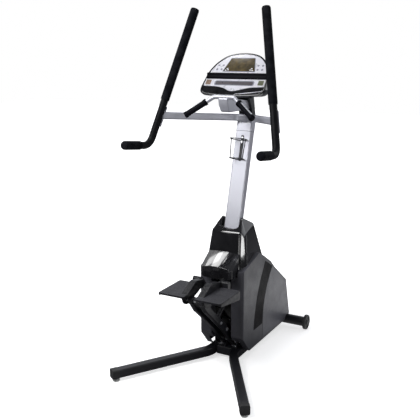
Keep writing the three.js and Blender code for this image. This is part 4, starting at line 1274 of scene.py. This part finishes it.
class CLIMBER_OT_console_keys(bpy.types.Operator):
    """Sets out the pads, the round keys, the stop and start keys and the magazine ledge."""

    bl_idname = "climber.console_keys"
    bl_label = "Console Keys"

    def execute(self, context):
        self.membrane()
        self.round_keys()
        self.square_keys()
        shelf = [(79, 0.2), (112, 0.2), (111, 9), (106, 15), (99, 15.5), (94, 9.5), (80, 7)]
        bm = slab(shelf, -171, 171, CONSOLE_PLACE @ SIDE_VIEW, [0, 0, 3, 3, 2.5, 3, 2.5], 4)
        piece("magazine_rest", rounded(bm, 2.2, 3, sharper=60), "dark_trim", nodes=["magazine_ledge"],
              slot="gloss_black")
        return {"FINISHED"}

    def membrane(self):
        pads = [on_console(rectangle(i * 23, 119, 15, 6.5), -0.3, 1.3, 2, 3, 0.4) for i in range(-3, 4)]
        for sign in (1, -1):
            for x, s in ((77, 134), (64, 137), (70, 146)):
                pads.append(on_console(rectangle(sign * x, s, 10, 5.5), 0.8, 1.8, 2.5, 4, 0.3))
        piece("membrane_pads", joined(*pads), "pad_print", slot="console_silver")

    def round_keys(self):
        keys = []
        for sign in (1, -1):
            for x in (104, 130):
                for s in (141, 168):
                    place = CONSOLE_PLACE @ Matrix.Translation((sign * (x + (141 - s) * 0.12), s, -0.3))
                    keys.append(turned([(0, 1.9), (4.6, 1.7), (5.8, 0.9), (6.2, 0), (0, 0)], place, 24))
        piece("round_keys", joined(*keys), "key_print", slot="console_silver")

    def square_keys(self):
        for name, sign in (("stop", -1), ("start", 1)):
            place = (sign * 150, 54)
            frame_ring = on_console(rectangle(*place, 36, 36), -0.4, 0.4, 4, 4, 0.3)
            piece(f"{name}_key_frame", frame_ring, "pad_print", slot="console_silver")
            cap = on_console(rectangle(*place, 30, 30), 0.5, 2.0, 3.5, 4, 0.5)
            raised = on_console(rectangle(*place, 17, 17), 1.9, 2.5, 2.5, 4, 0.25)
            piece(f"{name}_key_cap", joined(cap, raised), f"{name}_print", f"{name}_button",
                  [f"{name}_key"], f"{name}_key_print")


# ---- stepping linkage -----------------------------------------------------------------------
def boss(spot, radius, x0, x1, ease=1.6):
    """A round boss along X, its rims eased."""
    place = Matrix.Translation((0, spot.y, spot.z)) @ Matrix.Rotation(math.pi / 2, 4, "Y")
    return turned([(0, x0), (radius - ease, x0), (radius, x0 + ease), (radius, x1 - ease),
                   (radius - ease, x1), (0, x1)], place, 40)


def nut(spot, x, size=9):
    """A washer with a hex head on it, facing +X."""
    place = Matrix.Translation((0, spot.y, spot.z)) @ Matrix.Rotation(math.pi / 2, 4, "Y")
    washer = turned([(0, x), (size * 1.35, x), (size * 1.35, x + 0.9), (size * 1.25, x + 1.2), (0, x + 1.2)],
                    place, 30)
    head = turned([(0, x + 1.2), (size, x + 1.2), (size, x + 4.6), (size * 0.86, x + 5.6), (0, x + 5.6)],
                  place, 6)
    return joined(washer, head)


class CLIMBER_OT_pedal_arms(bpy.types.Operator):
    """Builds the two bent pedal arms with their bosses, bolts and strap pins."""

    bl_idname = "climber.pedal_arms"
    bl_label = "Pedal Arms"

    def execute(self, context):
        def arm():
            line = bent([(29, y, z) for y, z in ARM_LINE], 34, 5)
            body = bar(line, 26, 38, 5, (0, 0.7, 0.7), 3)
            strap_pin = boss(Vector((0, -150, 258)), 6, 2.4, 20, 1)
            return joined(body, boss(ARM_PIVOT, 23, 15.8, 42.2), boss(PEDAL_PIN, 21, 15.8, 42.2), strap_pin)

        pair("arm_casting", arm, "powder_coat", "{side}_arm", ["{side}_pedal_arm"], "frame_paint")

        def bolts():
            return joined(nut(Vector((0, -99, 196)), 42), nut(Vector((0, -166, 256)), 42, 6.5))

        pair("arm_bolts", bolts, "steel", "{side}_arm", slot="steel")
        return {"FINISHED"}


class CLIMBER_OT_levelling_links(bpy.types.Operator):
    """Builds the links that keep the pedals level."""

    bl_idname = "climber.levelling_links"
    bl_label = "Levelling Links"

    def execute(self, context):
        low, high = ARM_PIVOT + LINK_OFFSET, PEDAL_PIN + LINK_OFFSET

        def link():
            shift = Vector((50, 0, 0))
            body = bar([low + shift, high + shift], 8, 24, 3, (0, 0.7, 0.7), 3)
            return joined(body, boss(low, 16, 45.8, 54.2, 1.2), boss(high, 15, 45.8, 54.2, 1.2))

        pair("link_bar", link, "powder_coat", "{side}_link", ["{side}_levelling_link"], "frame_paint")
        return {"FINISHED"}


PEDAL_INNER, PEDAL_OUTER = 27, 178
PEDAL_HEEL, PEDAL_TOE = -430, -214


def deck_outline(inset):
    """The pedal's outline from above, drawn in by a distance."""
    x0, x1 = PEDAL_INNER + inset, PEDAL_OUTER - inset
    y0, y1 = PEDAL_HEEL + inset, PEDAL_TOE - inset
    return [(x0, y0), (x1, y0), (x1, y1), (x0, y1)]


def pedal_deck():
    """The deck with its sunk top."""
    deck = slab(deck_outline(0), 465.5, 474.6, corners=10, steps=6)
    top = max(deck.faces, key=lambda f: f.calc_center_median().z * (f.normal.z > 0.9))
    bmesh.ops.inset_region(deck, faces=[top], thickness=2.6, depth=0)
    bmesh.ops.translate(deck, vec=(0, 0, -1.8), verts=top.verts)
    return rounded(deck, 0.7, 2, sharper=60)


def pedal_bracket():
    """The cheek that carries both pins, the hood over it and the wing before the deck."""
    cheek = slab([(-396, 466.5), (-378, 418), (-345, 402), (-214, 440), (-180, 466), (-180, 494),
                  (-190, 506), (-206, 506), (-213, 497), (-213, 466.5)], 57.4, 64.6, SIDE_VIEW,
                 [2, 14, 16, 20, 12, 8, 6, 6, 3, 1], 4)
    hood = slab([(-392, 468), (-392, 475), (-318, 513.5), (-300, 519.5), (-219, 503), (-219, 468)], 27.4,
                63.6, SIDE_VIEW, [0, 3, 14, 14, 5, 0], 5)
    wing = slab([(-213, 467), (-190, 461), (-180, 470), (-180, 492), (-189, 505), (-206, 505),
                 (-212, 497)], 64, 104, SIDE_VIEW, [1, 8, 8, 7, 7, 5, 2], 4)
    return [rounded(cheek, 1.6, 2, sharper=60), rounded(hood, 4, 4, sharper=60),
            rounded(wing, 2.4, 3, sharper=60)]


def pedal_casting_form():
    """The whole casting, with the skirt along its outer side and the ribs under it."""
    skirt = slab([(-425, 467), (-425, 458), (-230, 428), (-218, 432), (-218, 467)], 173.6, 177.2,
                 SIDE_VIEW, [1, 6, 8, 6, 1], 4)
    rounded(skirt, 1.2, 2, sharper=60)
    ribs = [rounded(block((66, y - 2, 452), (172, y + 2, 466)), 1.2, 2) for y in (-398, -340, -282, -234)]
    return joined(pedal_deck(), *pedal_bracket(), skirt, *ribs)


def pedal_pins():
    """The pins that the arm and the levelling link turn on."""
    upper = PEDAL_PIN + LINK_OFFSET
    return joined(boss(PEDAL_PIN, 8, 12.9, 60, 0.8), boss(PEDAL_PIN, 12, 12.5, 15.4, 0.8),
                  boss(upper, 7.5, 43.2, 60, 0.8))


def pedal_mat():
    """The mat and its ribs across, which stop short of the hood."""
    pitch = sizes().tread_pitch / MM
    pad = rounded(slab(deck_outline(3.2), 472.9, 475.0, corners=8, steps=6), 0.5, 2, sharper=60)
    count = int((PEDAL_TOE - PEDAL_HEEL - 20) / pitch)
    start = (PEDAL_HEEL + PEDAL_TOE) / 2 - pitch * (count - 1) / 2
    thick = pitch * 0.27
    ribs = []
    for i in range(count):
        y = start + pitch * i
        inner = PEDAL_INNER + 9 if y < -398 else 69
        rib = block((inner, y - thick, 474.6), (PEDAL_OUTER - 9, y + thick, 476))
        ribs.append(rounded(rib, 0.5, 2))
    return joined(pad, *ribs)


class CLIMBER_OT_pedals(bpy.types.Operator):
    """Builds the pedals: a cast deck and bracket with a ribbed tread."""

    bl_idname = "climber.pedals"
    bl_label = "Pedals"

    def execute(self, context):
        pair("pedal_casting", pedal_casting_form, "pedal_casting", "{side}_step", ["{side}_pedal"],
             "pedal_casting")
        pair("pedal_pins", pedal_pins, "steel", "{side}_step", slot="steel")
        pair("tread_pad", pedal_mat, "pedal_rubber", "{side}_step", ["{side}_pedal_tread"],
             "pedal_rubber")
        return {"FINISHED"}


# ---- drive ----------------------------------------------------------------------------------
class CLIMBER_OT_drive(bpy.types.Operator):
    """Finishes the covered drive: pulleys, spools, alternator, belt, springs and board."""

    bl_idname = "climber.drive"
    bl_label = "Drive"

    def execute(self, context):
        for name, finish in (("drive_shaft", "steel"), ("drive_pulley", "aluminium"),
                             ("alternator", "aluminium"), ("alternator_pulley", "steel"),
                             ("control_board", "circuit_board")):
            softened(name, finish, 0.0008)
        softened("drive_belt", "black_rubber", 0.0)
        for side in ("right", "left"):
            softened(f"{side}_shaft_bearing", "steel", 0.0008)
            softened(f"{side}_clutch_spool", "steel", 0.0006)
            softened(f"{side}_return_spring", "steel", 0.0)
        return {"FINISHED"}


SPOOL, STRAP_PIN, SPRING_TOP = Vector((7, 170, 400)), Vector((7, -150, 258)), 236
STRAP_REACH = 28.2


def webbing_strap():
    """The right strap: straight from the arm's pin, over the spool, and down to the spring."""
    def around(angle):
        return Vector((0, math.cos(angle), math.sin(angle)))

    apart = (SPOOL - STRAP_PIN).yz
    tilt = math.atan2(apart.y, apart.x) + math.asin(STRAP_REACH / apart.length)
    touch = tilt + math.pi / 2
    start = STRAP_PIN + around(tilt) * 8
    leave = SPOOL + around(touch) * STRAP_REACH
    route = [start.lerp(leave, i / 8) for i in range(8)]
    route += [SPOOL + around(touch * (1 - i / 12)) * STRAP_REACH for i in range(13)]
    route += [Vector((SPOOL.x, SPOOL.y + STRAP_REACH, z)) for z in (360, 300, SPRING_TOP)]
    return bar(route, 2.6, 8.8, 1.0, (1, 0, 0), 2)


class CLIMBER_OT_step_straps(bpy.types.Operator):
    """Lays the webbing from each arm over its spool and down to its spring."""

    bl_idname = "climber.step_straps"
    bl_label = "Step Straps"

    def execute(self, context):
        for side, sign in SIDES:
            bm = webbing_strap() if sign > 0 else other_side(webbing_strap())
            strap = piece(f"{side}_webbing", bm, "webbing", None, nodes=[f"{side}_step_strap"],
                          slot="black_rubber")
            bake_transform(strap)
        return {"FINISHED"}


# ---- studio ---------------------------------------------------------------------------------
# Each soft light: its name, place, what it faces, width, height in metres and power in watts.
SOFTBOXES = (
    ("key_overhead", (-0.9, -2.1, 3.1), (0, 0, 0.7), 1.5, 1.5, 84),
    ("fill_left", (-1.6, -3.2, 2.1), (0, 0, 1.1), 0.9, 0.7, 7),
    ("strip_bevel", (2.57, 0.06, 0.78), (0.1, -0.04, 0.66), 0.34, 0.62, 8),
    ("front_low", (0.42, -2.9, 0.74), (0.08, -0.05, 0.64), 0.7, 0.46, 6),
    ("side_right", (3.0, -1.2, 1.9), (0.1, 0.1, 0.4), 1.2, 1.2, 6),
    ("visor_near", (-1.90, 0.29, 3.3), (0, -0.105, 0.58), 0.20, 1.0, 4),
    ("visor_mid", (-1.42, 0.13, 3.55), (0, -0.105, 0.58), 0.32, 1.0, 9),
    ("visor_side", (-2.15, 0.5, 2.6), (0, -0.105, 0.58), 0.6, 1.2, 2.2),
)
CAMERA_PLACE = Vector((1.6008, -3.1350, 1.6709))


def softbox(scene, name, place, aim, wide, tall, power):
    """A rectangular soft light that the camera doesn't see."""
    light = bpy.data.lights.new(name, "AREA")
    light.shape = "RECTANGLE"
    light.size = wide
    light.size_y = tall
    light.energy = power
    obj = bpy.data.objects.new(name, light)
    scene.collection.objects.link(obj)
    obj.visible_camera = False
    obj.location = place
    obj.rotation_euler = (Vector(aim) - Vector(place)).to_track_quat("-Z", "Y").to_euler()


def pale_world(studio):
    """White to the camera; to the machine, bright behind it and dim on the camera's side."""
    world = bpy.data.worlds.new("pale_surroundings")
    world.use_nodes = True
    nodes = world.node_tree.nodes
    links = world.node_tree.links
    fill = nodes["Background"]
    fill.inputs["Color"].default_value = (0.93, 0.95, 1.0, 1.0)
    direction = nodes.new("ShaderNodeTexCoord")
    parts = nodes.new("ShaderNodeSeparateXYZ")
    behind = nodes.new("ShaderNodeMapRange")
    behind.inputs["From Min"].default_value = -0.1
    behind.inputs["From Max"].default_value = 0.8
    behind.inputs["To Min"].default_value = studio.fill
    behind.inputs["To Max"].default_value = studio.sweep
    links.new(direction.outputs["Generated"], parts.inputs["Vector"])
    links.new(parts.outputs["Y"], behind.inputs["Value"])
    links.new(behind.outputs["Result"], fill.inputs["Strength"])
    seen = nodes.new("ShaderNodeBackground")
    seen.inputs["Color"].default_value = (1.0, 1.0, 1.0, 1.0)
    seen.inputs["Strength"].default_value = studio.backdrop
    ray = nodes.new("ShaderNodeLightPath")
    both = nodes.new("ShaderNodeMixShader")
    links.new(ray.outputs["Is Camera Ray"], both.inputs["Fac"])
    links.new(fill.outputs["Background"], both.inputs[1])
    links.new(seen.outputs["Background"], both.inputs[2])
    links.new(both.outputs["Shader"], nodes["World Output"].inputs["Surface"])
    return world


def floor_finish():
    """Pale to the camera, its glow weaker near the machine as painted shade round its foot; to the machine,
    dim with a glow behind it.
    """
    floor = Finish("floor", (0.9, 0.9, 0.91), 0.7, specular=0.1)
    floor.mottled(0.8, 0.02).roughness_between(0.6, 0.8, 3.0)
    dim = floor.nodes.new("ShaderNodeBsdfDiffuse")
    dim.inputs["Color"].default_value = (0.22, 0.22, 0.23, 1.0)
    seen = floor.nodes.new("ShaderNodeAddShader")
    bounced = floor.nodes.new("ShaderNodeAddShader")
    mixed = floor.nodes.new("ShaderNodeMixShader")
    ray = floor.nodes.new("ShaderNodeLightPath")
    floor.link(floor.shader.outputs["BSDF"], seen.inputs[0])
    # The glow the camera sees is weaker within 0.7 to 1.6 m of the machine: painted shade on the floor round
    # it.
    floor.link(floor.glow_around((0, 0, 0), 0.7, 1.6, 0.62, 1.2), seen.inputs[1])
    floor.link(dim.outputs["BSDF"], bounced.inputs[0])
    floor.link(floor.glow_around((0.6, 1.2, 0), 0.1, 1.1, 1.6, 0.0), bounced.inputs[1])
    floor.link(ray.outputs["Is Camera Ray"], mixed.inputs["Fac"])
    floor.link(bounced.outputs["Shader"], mixed.inputs[1])
    floor.link(seen.outputs["Shader"], mixed.inputs[2])
    floor.link(mixed.outputs["Shader"], floor.nodes["Material Output"].inputs["Surface"])
    return floor.material


def lay_floor(scene):
    mesh = bpy.data.meshes.new("floor")
    bm = bmesh.new()
    bmesh.ops.create_grid(bm, x_segments=2, y_segments=2, size=14)
    bm.to_mesh(mesh)
    bm.free()
    mesh.materials.append(floor_finish())
    ground = bpy.data.objects.new("floor", mesh)
    scene.collection.objects.link(ground)


def aim_camera(scene, studio):
    """Stands the camera behind the user's right shoulder, by its turn, pitch and roll."""
    camera = bpy.data.cameras.new("camera")
    camera.lens = studio.lens
    camera.sensor_width = 36
    camera.clip_end = 60
    view = bpy.data.objects.new("camera", camera)
    scene.collection.objects.link(view)
    a, p, r = studio.azimuth, studio.pitch, studio.roll
    forward = Vector((-math.sin(a) * math.cos(p), math.cos(a) * math.cos(p), -math.sin(p)))
    right = Vector((math.cos(a), math.sin(a), 0))
    up = right.cross(forward)
    turned_right = right * math.cos(r) + up * math.sin(r)
    turned_up = up * math.cos(r) - right * math.sin(r)
    axes = Matrix((turned_right, turned_up, -forward)).transposed().to_4x4()
    view.matrix_world = Matrix.Translation(CAMERA_PLACE) @ axes
    scene.camera = view


class CLIMBER_OT_studio(bpy.types.Operator):
    """Sets up the pale floor, the soft lights and the camera."""

    bl_idname = "climber.studio"
    bl_label = "Studio"

    def execute(self, context):
        scene = context.scene
        scene.world = pale_world(scene.climber_studio)
        scene.view_settings.view_transform = "Standard"
        lay_floor(scene)
        for light in SOFTBOXES:
            softbox(scene, *light)
        aim_camera(scene, scene.climber_studio)
        return {"FINISHED"}


# ---- add-on ---------------------------------------------------------------------------------
class CLIMBER_PT_build(bpy.types.Panel):
    """Lists the steps that build the machine."""

    bl_idname = "CLIMBER_PT_build"
    bl_label = "Stair Climber"
    bl_space_type = "VIEW_3D"
    bl_region_type = "UI"
    bl_category = "Climber"

    def draw(self, context):
        for settings in (context.scene.climber_sizes, context.scene.climber_finishes,
                         context.scene.climber_studio):
            box = self.layout.box()
            for name in settings.__annotations__:
                box.prop(settings, name)
        for step in STEPS:
            self.layout.operator(step.bl_idname)


STEPS = (
    CLIMBER_OT_base_frame, CLIMBER_OT_legs, CLIMBER_OT_feet, CLIMBER_OT_stabiliser, CLIMBER_OT_fittings,
    CLIMBER_OT_side_covers, CLIMBER_OT_cover_bands, CLIMBER_OT_upper_shroud, CLIMBER_OT_visor,
    CLIMBER_OT_mast, CLIMBER_OT_handle_poles, CLIMBER_OT_foam_grips, CLIMBER_OT_crossbar,
    CLIMBER_OT_pulse_bar, CLIMBER_OT_bottle_cage, CLIMBER_OT_console_case, CLIMBER_OT_console_panels,
    CLIMBER_OT_display, CLIMBER_OT_console_keys, CLIMBER_OT_pedal_arms, CLIMBER_OT_levelling_links,
    CLIMBER_OT_pedals, CLIMBER_OT_drive, CLIMBER_OT_step_straps, CLIMBER_OT_studio,
)
CLASSES = (ClimberSizes, ClimberFinishes, ClimberStudio, *STEPS, CLIMBER_PT_build)


def register():
    for item in CLASSES:
        bpy.utils.register_class(item)
    bpy.types.Scene.climber_sizes = PointerProperty(type=ClimberSizes)
    bpy.types.Scene.climber_finishes = PointerProperty(type=ClimberFinishes)
    bpy.types.Scene.climber_studio = PointerProperty(type=ClimberStudio)


def unregister():
    del bpy.types.Scene.climber_studio
    del bpy.types.Scene.climber_finishes
    del bpy.types.Scene.climber_sizes
    for item in reversed(CLASSES):
        bpy.utils.unregister_class(item)


def main():
    register()
    mix_finishes()
    for step in STEPS:
        group, name = step.bl_idname.split(".")
        getattr(getattr(bpy.ops, group), name)()


if __name__ == "__main__":
    main()
